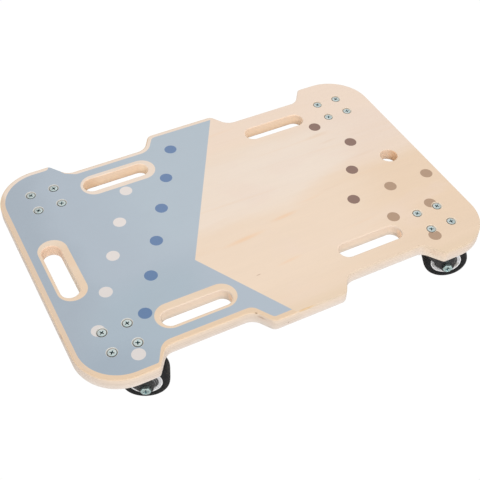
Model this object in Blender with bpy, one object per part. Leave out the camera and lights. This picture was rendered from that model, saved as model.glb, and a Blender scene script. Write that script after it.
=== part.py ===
"""Wooden scooter board: a plywood deck with hand slots on four swivel castors.

Metres, +Z up.  The floor is z = 0 and the deck's centre is over the origin.
+X is the end with the rope hole ("front"), +Y is the rider's left.
The castors swivel freely.  Each is drawn as it came to rest, its wheel trailing towards +X and
turned 23 to 26 degrees towards -Y.
"""
import math

import bmesh
import bpy
from mathutils import Matrix
from mathutils.geometry import delaunay_2d_cdt

# ------------------------------------------------------------------ dimensions
MM = 0.001

# deck
DECK_HALF_L = 283.5          # half length along X
DECK_HALF_W = 190.0          # half width along Y
DECK_T = 18.0                # plywood thickness
DECK_TOP = 103.0             # riding surface above the floor
DECK_BOTTOM = DECK_TOP - DECK_T
EDGE_BREAK = 2.0             # sanded edge all round, top and bottom
CORNER_R = 59.5              # the four big corners
RECESS_D = 25.0              # depth of the four side recesses
LOBE_X = 198.6               # where a corner lobe's side line ends
LOBE_DX = 18.1               # run of the slanted flank of a lobe
LOBE_R = 6.0                 # convex radius at the lobe's tip
LOBE_RIN = 17.0              # concave radius at the foot of the lobe's flank
TAB_X = 50.2                 # half length of the middle tab
TAB_DX = 15.9                # run of the slanted flank of the tab
TAB_R = 10.5                 # convex radius at the tab's tip
TAB_RIN = 19.8               # concave radius at the foot of the tab's flank

# hand slots: (centre x, centre y, length, width, long axis)
SLOT_W = 24.0
SLOT_L = 92.5
SLOT_X = 123.8
SLOT_Y = 128.8
END_SLOT_X = -250.0
END_SLOT_Y = -1.0
ROPE_X = 238.8
ROPE_Y = 1.0
ROPE_R = 12.0

# castors and their fasteners
CASTOR_X = 223.4
CASTOR_Y = 129.5
SCREW_PITCH = 16.0           # half of the 32 mm hole spacing
GAP = 0.3                    # seating gap between neighbouring pieces

SCREW_HEAD_R = 5.5
SCREW_R = 2.5
SCREW_SINK = 0.5
SCREW_HOLE_R = 2.8
CSK_R = 7.3                  # countersink, 45 degrees, wider than the head
SCREW_TIP_Z = 77.5
NUT_AF = 8.0
NUT_H = 4.7

PLATE_HALF = 23.0
PLATE_T = 2.0
PLATE_TOP = DECK_BOTTOM - GAP
PLATE_BOTTOM = PLATE_TOP - PLATE_T

WHEEL_R = 30.0
WHEEL_Z = 30.0
TRAIL = 26.1                 # swivel axis to axle
TYRE_HALF_W = 15.0
TYRE_IN_R = 20.8
CORE_R = 20.5
RIM_HALF_W = 14.0
FACE_R = 15.0                # foot of the shallow dished face inside the rim
FACE_HALF_W = 17.4           # where the face meets the boss
BOSS_R = 8.0
BOSS_HALF_W = 20.2
CORE_BORE_R = 4.4

LEG_IN = 20.5
LEG_OUT = 23.0
LEG_R = 9.5                  # round end of the fork leg, about the axle
CROWN_TOP = 74.5
CROWN_UNDER = 72.0
CROWN_BOSS_TOP = 76.0
NECK_R = 8.0
NECK_HOLE_R = 8.4
RACE_BOTTOM = 76.4

BOLT_R = 4.0
BOLT_HOLE_R = 4.3
BOLT_HEAD_AF = 12.0
BOLT_HEAD_H = 4.6
AXLE_NUT_AF = 13.0
AXLE_NUT_H = 6.5
BOLT_TAIL = 32.0

CASTORS = {
    "front_left": (CASTOR_X, CASTOR_Y),
    "front_right": (CASTOR_X, -CASTOR_Y),
    "rear_left": (-CASTOR_X, CASTOR_Y),
    "rear_right": (-CASTOR_X, -CASTOR_Y),
}

# direction in which each wheel trails at rest, degrees from +X
REST_DEG = {"front_left": -24.5, "front_right": -25.5, "rear_left": -24.5, "rear_right": -23.4}


# ------------------------------------------------------------------ clean start
def clear_scene():
    for ob in list(bpy.data.objects):
        bpy.data.objects.remove(ob, do_unlink=True)
    for me in list(bpy.data.meshes):
        bpy.data.meshes.remove(me)
    for ma in list(bpy.data.materials):
        bpy.data.materials.remove(ma)


def material(name, colour, roughness, metallic=0.0):
    ma = bpy.data.materials.new(name)
    ma.use_nodes = True
    bsdf = ma.node_tree.nodes["Principled BSDF"]
    bsdf.inputs["Base Color"].default_value = (*colour, 1.0)
    bsdf.inputs["Roughness"].default_value = roughness
    bsdf.inputs["Metallic"].default_value = metallic
    ma.diffuse_color = (*colour, 1.0)
    return ma


# ------------------------------------------------------------------ 2-D helpers (mm)
def fillet_loop(points, seg_len=4.0, min_seg=3, max_seg=12):
    """Counter-clockwise corner list (x, y, radius) to (x, y, nx, ny) samples with tangent arcs."""
    out = []
    n = len(points)
    for i in range(n):
        x0, y0, _ = points[i - 1]
        x1, y1, r = points[i]
        x2, y2, _ = points[(i + 1) % n]
        d1x, d1y = x1 - x0, y1 - y0
        l1 = math.hypot(d1x, d1y)
        d1x, d1y = d1x / l1, d1y / l1
        d2x, d2y = x2 - x1, y2 - y1
        l2 = math.hypot(d2x, d2y)
        d2x, d2y = d2x / l2, d2y / l2
        ang = math.atan2(d1x * d2y - d1y * d2x, d1x * d2x + d1y * d2y)
        sg = 1.0 if ang > 0 else -1.0
        t = r * math.tan(abs(ang) / 2)
        sx, sy = x1 - d1x * t, y1 - d1y * t
        cx, cy = sx - d1y * sg * r, sy + d1x * sg * r
        k = max(min_seg, min(max_seg, int(round(abs(ang) * r / seg_len))))
        a0 = math.atan2(sy - cy, sx - cx)
        for j in range(k + 1):
            a = a0 + ang * j / k
            out.append((cx + r * math.cos(a), cy + r * math.sin(a), sg * math.cos(a), sg * math.sin(a)))
    return out


def deck_outline():
    a, b, d = DECK_HALF_L, DECK_HALF_W, RECESS_D
    q = [
        (a, b, CORNER_R),
        (LOBE_X, b, LOBE_R),
        (LOBE_X - LOBE_DX, b - d, LOBE_RIN),
        (TAB_X + TAB_DX, b - d, TAB_RIN),
        (TAB_X, b, TAB_R),
    ]
    pts = [(x, y, r) for x, y, r in q]
    pts += [(-x, y, r) for x, y, r in reversed(q)]
    pts += [(-x, -y, r) for x, y, r in q]
    pts += [(x, -y, r) for x, y, r in reversed(q)]
    return fillet_loop(pts, seg_len=10.0, min_seg=3, max_seg=9)


def stadium(cx, cy, length, width, along_x=True, seg=8):
    """Samples of a round-ended slot, counter-clockwise, with normals pointing out of the hole."""
    r = width / 2
    s = (length - width) / 2
    out = []
    for side in (0, 1):
        for j in range(seg + 1):
            a = -math.pi / 2 + math.pi * j / seg + side * math.pi
            ox = s if side == 0 else -s
            x, y, nx, ny = ox + r * math.cos(a), r * math.sin(a), math.cos(a), math.sin(a)
            if not along_x:
                x, y, nx, ny = -y, x, -ny, nx
            out.append((cx + x, cy + y, nx, ny))
    return out


def circle(cx, cy, r, seg, phase=0.0):
    out = []
    for j in range(seg):
        a = 2 * math.pi * j / seg + phase
        out.append((cx + r * math.cos(a), cy + r * math.sin(a), math.cos(a), math.sin(a)))
    return out


def inside(loop, x, y):
    hit = False
    n = len(loop)
    for i in range(n):
        x1, y1 = loop[i][0], loop[i][1]
        x2, y2 = loop[(i + 1) % n][0], loop[(i + 1) % n][1]
        if (y1 > y) != (y2 > y) and x < (x2 - x1) * (y - y1) / (y2 - y1) + x1:
            hit = not hit
    return hit


def cap_faces(loops):
    """Triangles between an outer loop (first) and hole loops, as index triples into the joined loops."""
    co, edges = [], []
    for loop in loops:
        base = len(co)
        n = len(loop)
        co += [(p[0], p[1]) for p in loop]
        edges += [(base + i, base + (i + 1) % n) for i in range(n)]
    v, _, faces, orig, _, _ = delaunay_2d_cdt(co, edges, [], 0, 1e-7)
    out = []
    for f in faces:
        if len(f) != 3:
            continue
        x = sum(v[i][0] for i in f) / 3
        y = sum(v[i][1] for i in f) / 3
        if not inside(loops[0], x, y) or any(inside(h, x, y) for h in loops[1:]):
            continue
        tri = [orig[i][0] for i in f]
        (ax, ay), (bx, by), (cx, cy) = (co[i] for i in tri)
        if (bx - ax) * (cy - ay) - (by - ay) * (cx - ax) < 0:
            tri.reverse()
        out.append(tri)
    return out


# ------------------------------------------------------------------ mesh helpers
def finish_mesh(bm, name, smooth_angle=None, dissolve=False):
    if dissolve:
        bmesh.ops.dissolve_limit(bm, angle_limit=math.radians(0.5), verts=bm.verts, edges=bm.edges)
    bmesh.ops.recalc_face_normals(bm, faces=bm.faces)
    me = bpy.data.meshes.new(name)
    bm.to_mesh(me)
    bm.free()
    if smooth_angle is not None:
        me.shade_smooth()
        me.set_sharp_from_angle(angle=math.radians(smooth_angle))
    return me


def layered_solid(stacks, name, smooth_angle=40):
    """A solid between a top and a bottom cap.  stacks[0] is the outer wall and the rest are holes;
    each stack is a list of rings, top first, and a ring is a list of (x, y, z) in mm."""
    bm = bmesh.new()
    tops, bottoms = [], []
    for rings in stacks:
        vr = [[bm.verts.new((x * MM, y * MM, z * MM)) for x, y, z in ring] for ring in rings]
        n = len(vr[0])
        for a, b in zip(vr[:-1], vr[1:]):
            for i in range(n):
                j = (i + 1) % n
                bm.faces.new((a[i], b[i], b[j], a[j]))
        tops.append(vr[0])
        bottoms.append(vr[-1])
    flat_top = [v for ring in tops for v in ring]
    flat_bottom = [v for ring in bottoms for v in ring]
    for tri in cap_faces([s[0] for s in stacks]):
        bm.faces.new([flat_top[i] for i in tri])
    for tri in cap_faces([s[-1] for s in stacks]):
        bm.faces.new([flat_bottom[i] for i in reversed(tri)])
    return finish_mesh(bm, name, smooth_angle)


def turned(profile, seg, name, axis="Z", closed=False, smooth_angle=40, phase=0.0):
    """Turns a profile of (radius, height) in mm.  An open profile starts and ends on the axis;
    a closed one is a ring's section."""
    bm = bmesh.new()
    rings = []
    for r, h in profile:
        if r < 1e-6:
            rings.append([bm.verts.new((0, 0, h * MM))])
        else:
            rings.append([bm.verts.new((r * MM * math.cos(2 * math.pi * i / seg + phase),
                                        r * MM * math.sin(2 * math.pi * i / seg + phase),
                                        h * MM)) for i in range(seg)])
    pairs = list(zip(rings[:-1], rings[1:]))
    if closed:
        pairs.append((rings[-1], rings[0]))
    for a, b in pairs:
        for i in range(seg):
            j = (i + 1) % seg
            if len(a) == 1 and len(b) == 1:
                continue
            if len(a) == 1:
                bm.faces.new((a[0], b[i], b[j]))
            elif len(b) == 1:
                bm.faces.new((a[i], b[0], a[j]))
            else:
                bm.faces.new((a[i], b[i], b[j], a[j]))
    if axis == "Y":
        bmesh.ops.rotate(bm, verts=bm.verts, cent=(0, 0, 0), matrix=Matrix.Rotation(math.radians(-90), 3, "X"))
    return finish_mesh(bm, name, smooth_angle)


def box_mesh(lo, hi, name):
    bm = bmesh.new()
    bmesh.ops.create_cube(bm, size=1.0)
    for v in bm.verts:
        v.co = [((hi[k] + lo[k]) / 2 + v.co[k] * (hi[k] - lo[k])) * MM for k in range(3)]
    return finish_mesh(bm, name)


def prism_y(points, y0, y1, name):
    """Extrudes an (x, z) outline along Y."""
    bm = bmesh.new()
    a = [bm.verts.new((x * MM, y0 * MM, z * MM)) for x, z in points]
    f = bm.faces.new(a)
    ext = bmesh.ops.extrude_face_region(bm, geom=[f])
    moved = [g for g in ext["geom"] if isinstance(g, bmesh.types.BMVert)]
    bmesh.ops.translate(bm, verts=moved, vec=(0, (y1 - y0) * MM, 0))
    return finish_mesh(bm, name)


def link(name, mesh, ma, parent=None, location=(0, 0, 0), rotation=0.0):
    ob = bpy.data.objects.new(name, mesh)
    bpy.context.scene.collection.objects.link(ob)
    ob.location = [c * MM for c in location]
    ob.rotation_euler = (0, 0, rotation)
    if parent is not None:
        ob.parent = parent
    if not mesh.materials:
        mesh.materials.append(ma)
    return ob


def empty(name, location, rotation=0.0, parent=None):
    ob = bpy.data.objects.new(name, None)
    bpy.context.scene.collection.objects.link(ob)
    ob.empty_display_size = 0.02
    ob.location = [c * MM for c in location]
    ob.rotation_euler = (0, 0, rotation)
    if parent is not None:
        ob.parent = parent
    return ob


def carved(base, cutters, name, unions=(), smooth_angle=35):
    """Boolean-cuts a mesh with cutter meshes and returns one plain mesh."""
    host = bpy.data.objects.new(name + "_blank", base)
    bpy.context.scene.collection.objects.link(host)
    helpers = []
    for op, group in (("UNION", unions), ("DIFFERENCE", cutters)):
        for i, me in enumerate(group):
            ob = bpy.data.objects.new(f"{name}_{op.lower()}_{i}", me)
            bpy.context.scene.collection.objects.link(ob)
            helpers.append(ob)
            mod = host.modifiers.new(ob.name, "BOOLEAN")
            mod.operation = op
            mod.solver = "EXACT"
            mod.object = ob
    bpy.context.view_layer.update()
    dg = bpy.context.evaluated_depsgraph_get()
    me = bpy.data.meshes.new_from_object(host.evaluated_get(dg))
    for ob in [host] + helpers:
        bpy.data.objects.remove(ob, do_unlink=True)
    bm = bmesh.new()
    bm.from_mesh(me)
    bmesh.ops.remove_doubles(bm, verts=bm.verts, dist=1e-6)
    bmesh.ops.dissolve_degenerate(bm, edges=bm.edges, dist=1e-6)
    bpy.data.meshes.remove(me)
    out = finish_mesh(bm, name, smooth_angle)
    out.materials.clear()
    return out


# ------------------------------------------------------------------ the pieces
def wall_rings(loop, sign):
    """Rings of a wall with both edges broken.  sign -1 pulls an outer edge in, +1 opens a hole's edge."""
    e = EDGE_BREAK
    k = 1 - math.sqrt(0.5)
    levels = [(1.0, DECK_TOP), (k, DECK_TOP - e * k), (0.0, DECK_TOP - e),
              (0.0, DECK_BOTTOM + e), (k, DECK_BOTTOM + e * k), (1.0, DECK_BOTTOM)]
    return [[(x + nx * e * s * sign, y + ny * e * s * sign, z) for x, y, nx, ny in loop] for s, z in levels]


def make_deck():
    stacks = [wall_rings(deck_outline(), -1.0)]
    for sx in (-1, 1):
        for sy in (-1, 1):
            stacks.append(wall_rings(stadium(sx * SLOT_X, sy * SLOT_Y, SLOT_L, SLOT_W), 1.0))
    stacks.append(wall_rings(stadium(END_SLOT_X, END_SLOT_Y, SLOT_L, SLOT_W, along_x=False), 1.0))
    stacks.append(wall_rings(circle(ROPE_X, ROPE_Y, ROPE_R, 20), 1.0))
    for cx, cy in CASTORS.values():
        for sx in (-1, 1):
            for sy in (-1, 1):
                hx, hy = cx + sx * SCREW_PITCH, cy + sy * SCREW_PITCH
                rings = []
                for r, z in ((CSK_R, DECK_TOP),
                             (SCREW_HOLE_R, DECK_TOP - (CSK_R - SCREW_HOLE_R)),
                             (SCREW_HOLE_R, DECK_BOTTOM)):
                    rings.append([(x, y, z) for x, y, _, _ in circle(hx, hy, r, 12)])
                stacks.append(rings)
    return layered_solid(stacks, "deck")


def make_deck_screw():
    """Countersunk machine screw with a cross recess, origin at the middle of its head's face."""
    seg = 12
    bm = bmesh.new()
    length = DECK_TOP - SCREW_SINK - SCREW_TIP_Z
    prof = [(SCREW_HEAD_R, 0.0), (SCREW_HEAD_R, -0.3), (SCREW_R, -0.3 - (SCREW_HEAD_R - SCREW_R)),
            (SCREW_R, -length + 0.6), (SCREW_R - 0.6, -length)]
    rings = [[bm.verts.new((r * MM * math.cos(2 * math.pi * i / seg), r * MM * math.sin(2 * math.pi * i / seg), z * MM))
              for i in range(seg)] for r, z in prof]
    for a, b in zip(rings[:-1], rings[1:]):
        for i in range(seg):
            j = (i + 1) % seg
            bm.faces.new((a[i], b[i], b[j], a[j]))
    bm.faces.new(list(reversed(rings[-1])))

    def cross(half, arm, z):
        p = [(half, -arm), (half, arm), (arm, arm), (arm, half), (-arm, half), (-arm, arm),
             (-half, arm), (-half, -arm), (-arm, -arm), (-arm, -half), (arm, -half), (arm, -arm)]
        return [(x, y, z) for x, y in p]

    top = cross(2.5, 0.6, 0.0)
    floor = cross(1.3, 0.35, -2.2)
    vt = [bm.verts.new((x * MM, y * MM, z * MM)) for x, y, z in top]
    vf = [bm.verts.new((x * MM, y * MM, z * MM)) for x, y, z in floor]
    for i in range(12):
        j = (i + 1) % 12
        bm.faces.new((vt[i], vf[i], vf[j], vt[j]))
    bm.faces.new(vf)
    outer = [(v.co.x / MM, v.co.y / MM) for v in rings[0]]
    every = rings[0] + vt
    for tri in cap_faces([outer, [(x, y) for x, y, _ in top]]):
        bm.faces.new([every[i] for i in tri])
    return finish_mesh(bm, "deck_screw", 30)


def make_hex_nut(af, height, bore_r, seg, name, axis="Z"):
    """Hexagonal nut, z from 0 to height, or turned to lie along Y."""
    hex_r = af / 2 / math.cos(math.radians(30))
    outer = circle(0, 0, hex_r, 6)
    inner = circle(0, 0, bore_r, seg)
    stacks = [[[(x, y, z) for x, y, _, _ in loop] for z in (height, 0.0)] for loop in (outer, inner)]
    me = layered_solid(stacks, name, 20)
    if axis == "Y":
        me.transform(Matrix.Rotation(math.radians(-90), 4, "X"))
    return me


def make_castor_plate():
    """Square top plate with its pressed-down raceway and the swaged neck that holds the fork."""
    h = PLATE_HALF
    plate = fillet_loop([(h, h, 5.0), (-h, h, 5.0), (-h, -h, 5.0), (h, -h, 5.0)], seg_len=2.6, max_seg=3)
    holes = []
    for sx in (-1, 1):
        for sy in (-1, 1):
            holes.append(circle(sx * SCREW_PITCH, sy * SCREW_PITCH, SCREW_HOLE_R, 12))
    race = circle(0, 0, 17.0, 20)
    bm = bmesh.new()

    def ring(loop, z):
        return [bm.verts.new((p[0] * MM, p[1] * MM, z * MM)) for p in loop]

    def wall(a, b):
        for i in range(len(a)):
            j = (i + 1) % len(a)
            bm.faces.new((a[i], b[i], b[j], a[j]))

    top_outer, low_outer = ring(plate, PLATE_TOP), ring(plate, PLATE_BOTTOM)
    wall(top_outer, low_outer)
    top_holes, low_holes = [], []
    for h_ in holes:
        a, b = ring(h_, PLATE_TOP), ring(h_, PLATE_BOTTOM)
        wall(a, b)
        top_holes.append(a)
        low_holes.append(b)
    every = top_outer + [v for r in top_holes for v in r]
    for tri in cap_faces([plate] + holes):
        bm.faces.new([every[i] for i in tri])
    race_rings = [ring(circle(0, 0, r, 20), z) for r, z in
                  ((17.0, PLATE_BOTTOM), (15.2, 80.0), (14.2, RACE_BOTTOM), (NECK_R, RACE_BOTTOM),
                   (NECK_R, 71.7), (11.0, 71.7), (11.0, 70.4), (9.6, 69.3))]
    every = low_outer + race_rings[0] + [v for r in low_holes for v in r]
    for tri in cap_faces([plate, race] + holes):
        bm.faces.new([every[i] for i in reversed(tri)])
    for a, b in zip(race_rings[:-1], race_rings[1:]):
        wall(a, b)
    bm.faces.new(list(reversed(race_rings[-1])))
    return finish_mesh(bm, "castor_plate", 35)


def leg_outline():
    """Side outline of the fork in (trail, height): round the axle, up to the crown and back."""
    pts = []
    cx, cz = TRAIL, WHEEL_Z
    a0, a1 = math.radians(-120), math.radians(8)
    for j in range(11):
        a = a0 + (a1 - a0) * j / 10
        pts.append((cx + LEG_R * math.cos(a), cz + LEG_R * math.sin(a)))
    pts += [(33.4, 46.0), (31.0, 55.5), (26.6, 63.6), (22.0, 69.8), (19.0, 72.5), (15.0, CROWN_TOP), (-12.5, CROWN_TOP),
            (-17.0, 72.0), (-18.5, 66.0), (-15.5, 60.5), (6.8, 38.5)]
    return pts


def make_fork():
    base = prism_y(leg_outline(), -LEG_OUT, LEG_OUT, "fork_blank")
    cut_in = box_mesh((-40, -LEG_IN, -5), (60, LEG_IN, CROWN_UNDER), "cut_inside")
    boss = turned([(0, CROWN_TOP - 1.0), (13.5, CROWN_TOP - 1.0), (13.5, CROWN_BOSS_TOP - 0.8),
                   (12.7, CROWN_BOSS_TOP), (0, CROWN_BOSS_TOP)][::-1], 24, "fork_boss")
    neck = turned([(0, CROWN_BOSS_TOP + 2), (NECK_HOLE_R, CROWN_BOSS_TOP + 2),
                   (NECK_HOLE_R, CROWN_UNDER - 3), (0, CROWN_UNDER - 3)], 24, "cut_neck")
    axle = turned([(0, 40), (BOLT_HOLE_R, 40), (BOLT_HOLE_R, -40), (0, -40)], 16, "cut_axle", axis="Y")
    axle.transform(Matrix.Translation((TRAIL * MM, 0, WHEEL_Z * MM)))
    return carved(base, [cut_in, neck, axle], "fork", unions=[boss])


def make_tyre():
    w = TYRE_HALF_W
    half = [(TYRE_IN_R, w - 0.3), (26.4, w), (28.5, 13.6), (29.6, 10.8), (WHEEL_R, 7.2)]
    prof = half + [(r, -y) for r, y in reversed(half)]
    return turned(prof, 32, "tyre", axis="Y", closed=True, phase=math.radians(90))


def make_wheel_core():
    half = [(CORE_BORE_R, BOSS_HALF_W), (BOSS_R, BOSS_HALF_W), (BOSS_R, FACE_HALF_W), (FACE_R, RIM_HALF_W),
            (CORE_R, RIM_HALF_W)]
    prof = half + [(r, -y) for r, y in reversed(half)]
    return turned(prof, 20, "wheel_core", axis="Y", closed=True, phase=math.radians(90))


def make_axle_bolt():
    """Hexagon-head axle bolt along Y, its head on the -Y side, with a shallow cross in the head."""
    head_r = BOLT_HEAD_AF / 2 / math.cos(math.radians(30))
    y_head = -(LEG_OUT + GAP + BOLT_HEAD_H)
    y_under = -(LEG_OUT + GAP)
    bm = bmesh.new()

    def hex_ring(r, y):
        return [bm.verts.new((r * MM * math.cos(math.radians(60 * i)), y * MM, r * MM * math.sin(math.radians(60 * i))))
                for i in range(6)]

    seg = 12

    def round_ring(r, y):
        return [bm.verts.new((r * MM * math.cos(2 * math.pi * i / seg), y * MM, r * MM * math.sin(2 * math.pi * i / seg)))
                for i in range(seg)]

    def wall(a, b):
        for i in range(len(a)):
            j = (i + 1) % len(a)
            bm.faces.new((a[i], b[i], b[j], a[j]))

    face, edge, under = hex_ring(head_r - 0.9, y_head), hex_ring(head_r, y_head + 0.7), hex_ring(head_r, y_under)
    wall(face, edge)
    wall(edge, under)
    s0, s1, s2 = round_ring(BOLT_R, y_under), round_ring(BOLT_R, BOLT_TAIL - 0.8), round_ring(BOLT_R - 0.8, BOLT_TAIL)
    wall(s0, s1)
    wall(s1, s2)
    bm.faces.new(s2)

    def xz(vs):
        return [(v.co.x / MM, v.co.z / MM) for v in vs]

    every = under + s0
    for tri in cap_faces([xz(under), xz(s0)]):
        bm.faces.new([every[i] for i in tri])

    def cross(half, arm, y):
        p = [(half, -arm), (half, arm), (arm, arm), (arm, half), (-arm, half), (-arm, arm),
             (-half, arm), (-half, -arm), (-arm, -arm), (-arm, -half), (arm, -half), (arm, -arm)]
        return [bm.verts.new((x * MM, y * MM, z * MM)) for x, z in p]

    ct, cf = cross(3.4, 0.75, y_head), cross(2.0, 0.5, y_head + 2.2)
    wall(ct, cf)
    bm.faces.new(cf)
    every = face + ct
    for tri in cap_faces([xz(face), xz(ct)]):
        bm.faces.new([every[i] for i in reversed(tri)])
    return finish_mesh(bm, "axle_bolt", 30)


# ------------------------------------------------------------------ assembly
def main():
    clear_scene()
    plywood = material("plywood", (0.80, 0.65, 0.49), 0.55)
    zinc = material("zinc", (0.62, 0.64, 0.64), 0.30, 1.0)
    fork_paint = material("fork_black", (0.035, 0.035, 0.037), 0.42)
    tyre_rubber = material("tyre_rubber", (0.022, 0.022, 0.024), 0.60)
    core_plastic = material("core_grey", (0.66, 0.66, 0.67), 0.42)

    link("deck", make_deck(), plywood)

    screw_mesh = make_deck_screw()
    nut_mesh = make_hex_nut(NUT_AF, NUT_H, SCREW_R + GAP, 12, "lock_nut")
    plate_mesh = make_castor_plate()
    fork_mesh = make_fork()
    tyre_mesh = make_tyre()
    core_mesh = make_wheel_core()
    bolt_mesh = make_axle_bolt()
    axle_nut_mesh = make_hex_nut(AXLE_NUT_AF, AXLE_NUT_H, BOLT_R + GAP, 12, "axle_nut", axis="Y")

    for name, (cx, cy) in CASTORS.items():
        link(f"{name}_castor_plate", plate_mesh, zinc, location=(cx, cy, 0))
        k = 0
        for sx, sy in ((1, 1), (-1, 1), (-1, -1), (1, -1)):
            k += 1
            hx, hy = cx + sx * SCREW_PITCH, cy + sy * SCREW_PITCH
            link(f"{name}_deck_screw_{k}", screw_mesh, zinc, location=(hx, hy, DECK_TOP - SCREW_SINK),
                 rotation=math.radians(17.0 * k + (11.0 if cx > 0 else 0.0)))
            link(f"{name}_lock_nut_{k}", nut_mesh, zinc, location=(hx, hy, PLATE_BOTTOM - GAP - NUT_H),
                 rotation=math.radians(15.0 * k))
        swivel = empty(f"{name}_swivel_axis", (cx, cy, 0), math.radians(REST_DEG[name]))
        link(f"{name}_fork", fork_mesh, fork_paint, parent=swivel)
        axle = empty(f"{name}_axle_axis", (TRAIL, 0, WHEEL_Z), parent=swivel)
        link(f"{name}_axle_bolt", bolt_mesh, zinc, parent=axle)
        link(f"{name}_axle_nut", axle_nut_mesh, zinc, parent=axle, location=(0, LEG_OUT + GAP, 0))
        link(f"{name}_tyre", tyre_mesh, tyre_rubber, parent=axle)
        link(f"{name}_wheel_core", core_mesh, core_plastic, parent=axle)
    bpy.context.view_layer.update()


main()
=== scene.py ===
"""Looks of a plywood scooter board on four swivel castors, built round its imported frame.

Lengths in the shape tables below are millimetres; everything placed in the scene is metres.
+X is the end with the rope hole, +Y the rider's left, z = 0 the floor.
"""

import math

import bmesh
import bpy
from mathutils import Matrix, Vector
from mathutils.geometry import delaunay_2d_cdt


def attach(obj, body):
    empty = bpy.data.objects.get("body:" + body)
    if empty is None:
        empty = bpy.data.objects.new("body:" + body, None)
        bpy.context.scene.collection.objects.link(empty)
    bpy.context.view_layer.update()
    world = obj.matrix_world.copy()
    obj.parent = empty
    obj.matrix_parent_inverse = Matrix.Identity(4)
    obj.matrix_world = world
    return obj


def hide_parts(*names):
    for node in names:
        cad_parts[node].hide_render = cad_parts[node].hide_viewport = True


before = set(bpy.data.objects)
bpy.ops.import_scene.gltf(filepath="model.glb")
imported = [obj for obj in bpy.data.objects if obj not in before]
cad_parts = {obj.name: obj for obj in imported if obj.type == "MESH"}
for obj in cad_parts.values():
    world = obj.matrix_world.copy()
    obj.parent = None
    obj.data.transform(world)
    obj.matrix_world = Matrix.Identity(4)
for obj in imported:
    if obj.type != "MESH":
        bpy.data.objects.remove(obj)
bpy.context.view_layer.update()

MM = 0.001

# ------------------------------------------------------------------ shape tables (mm)
HALF_L, HALF_W = 283.5, 190.0
TOP, BOTTOM = 103.0, 85.0
EDGE = 2.0
CORNER_R = 59.5
RECESS_D = 25.0
LOBE_X, LOBE_DX, LOBE_R, LOBE_RIN = 198.6, 18.1, 6.0, 17.0
TAB_X, TAB_DX, TAB_R, TAB_RIN = 50.2, 15.9, 10.5, 19.8
SLOT_L, SLOT_W, SLOT_X, SLOT_Y = 92.5, 24.0, 123.8, 128.8
END_SLOT = (-250.0, -1.0)
ROPE = (238.8, 1.0, 12.0)
CASTOR_X, CASTOR_Y, PITCH = 223.4, 129.5, 16.0
TRAIL, AXLE_Z = 26.1, 30.0
CSK_R, HOLE_R = 7.3, 2.8

# direction in which each castor trails at rest, degrees from +X
REST_DEG = {"front_left": -24.5, "front_right": -25.5, "rear_left": -24.5, "rear_right": -23.4}

CASTORS = {
    "front_left": (CASTOR_X, CASTOR_Y),
    "front_right": (CASTOR_X, -CASTOR_Y),
    "rear_left": (-CASTOR_X, CASTOR_Y),
    "rear_right": (-CASTOR_X, -CASTOR_Y),
}

# the printed pattern on the top face: a two-tone field split by a chevron, and plain dots
CHEVRON = [(46.8, 183.4), (-92.8, -58.4), (-23.2, -182.8)]
DOT_R = 8.55
DOTS = {
    "print_white": [(-122.0, 97.2), (-152.2, 45.6), (-182.2, -6.1), (-212.3, -58.0), (-242.2, -109.6), (-213.2, -161.7)],
    "print_blue": [(-32.9, 148.8), (-62.9, 97.0), (-92.7, 45.4), (-122.7, -6.2), (-152.7, -57.7), (-182.8, -109.6)],
    "print_brown": [(176.4, 101.5), (205.5, 49.8), (175.6, -1.9), (145.7, -53.4)],
    "print_tan": [(264.5, -53.8), (204.9, -53.6), (175.1, -105.2), (234.4, -105.2), (204.4, -157.6)],
}


# ------------------------------------------------------------------ camera
def make_camera():
    az, el, roll = math.radians(-28.427), math.radians(46.253), math.radians(1.462)
    back = Vector((math.sin(az) * math.cos(el), -math.cos(az) * math.cos(el), math.sin(el)))
    right0 = Vector((math.cos(az), math.sin(az), 0.0))
    up0 = back.cross(right0)
    right = right0 * math.cos(roll) + up0 * math.sin(roll)
    up = back.cross(right)
    data = bpy.data.cameras.new("photo_camera")
    data.sensor_fit = "HORIZONTAL"
    data.sensor_width = 36.0
    data.lens = 906.717 / 480.0 * 36.0
    data.clip_start, data.clip_end = 0.05, 60.0
    cam = bpy.data.objects.new("photo_camera", data)
    bpy.context.scene.collection.objects.link(cam)
    m = Matrix((right, up, back)).transposed().to_4x4()
    m.translation = Vector((-0.4095, -0.7607, 0.9440))
    cam.matrix_world = m
    bpy.context.scene.camera = cam


make_camera()


# ------------------------------------------------------------------ light and floor
# softboxes: direction from the board, distance and diameter in metres, light on a face square to it
# (1 is what a white surround gives), colour
LAMPS = {
    "key_softbox": ((0.0, -0.766, 0.643), 3.4, 1.7, 0.39, (1.0, 1.0, 1.0)),
    "top_softbox": ((0.32, 0.56, 0.77), 3.2, 2.2, 0.06, (1.0, 1.0, 1.0)),
}
SURROUND = 0.95


def area_light(name, direction, distance, size, level, colour=(1, 1, 1)):
    data = bpy.data.lights.new(name, "AREA")
    data.shape = "DISK"
    data.size = size
    data.energy = level * math.pi ** 2 * (distance ** 2 + size ** 2 / 4)
    data.color = colour
    ob = bpy.data.objects.new(name, data)
    bpy.context.scene.collection.objects.link(ob)
    d = Vector(direction).normalized()
    ob.location = d * distance + Vector((0, 0, 0.09))
    ob.rotation_euler = (-d).to_track_quat("-Z", "Y").to_euler()
    return ob


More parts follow.
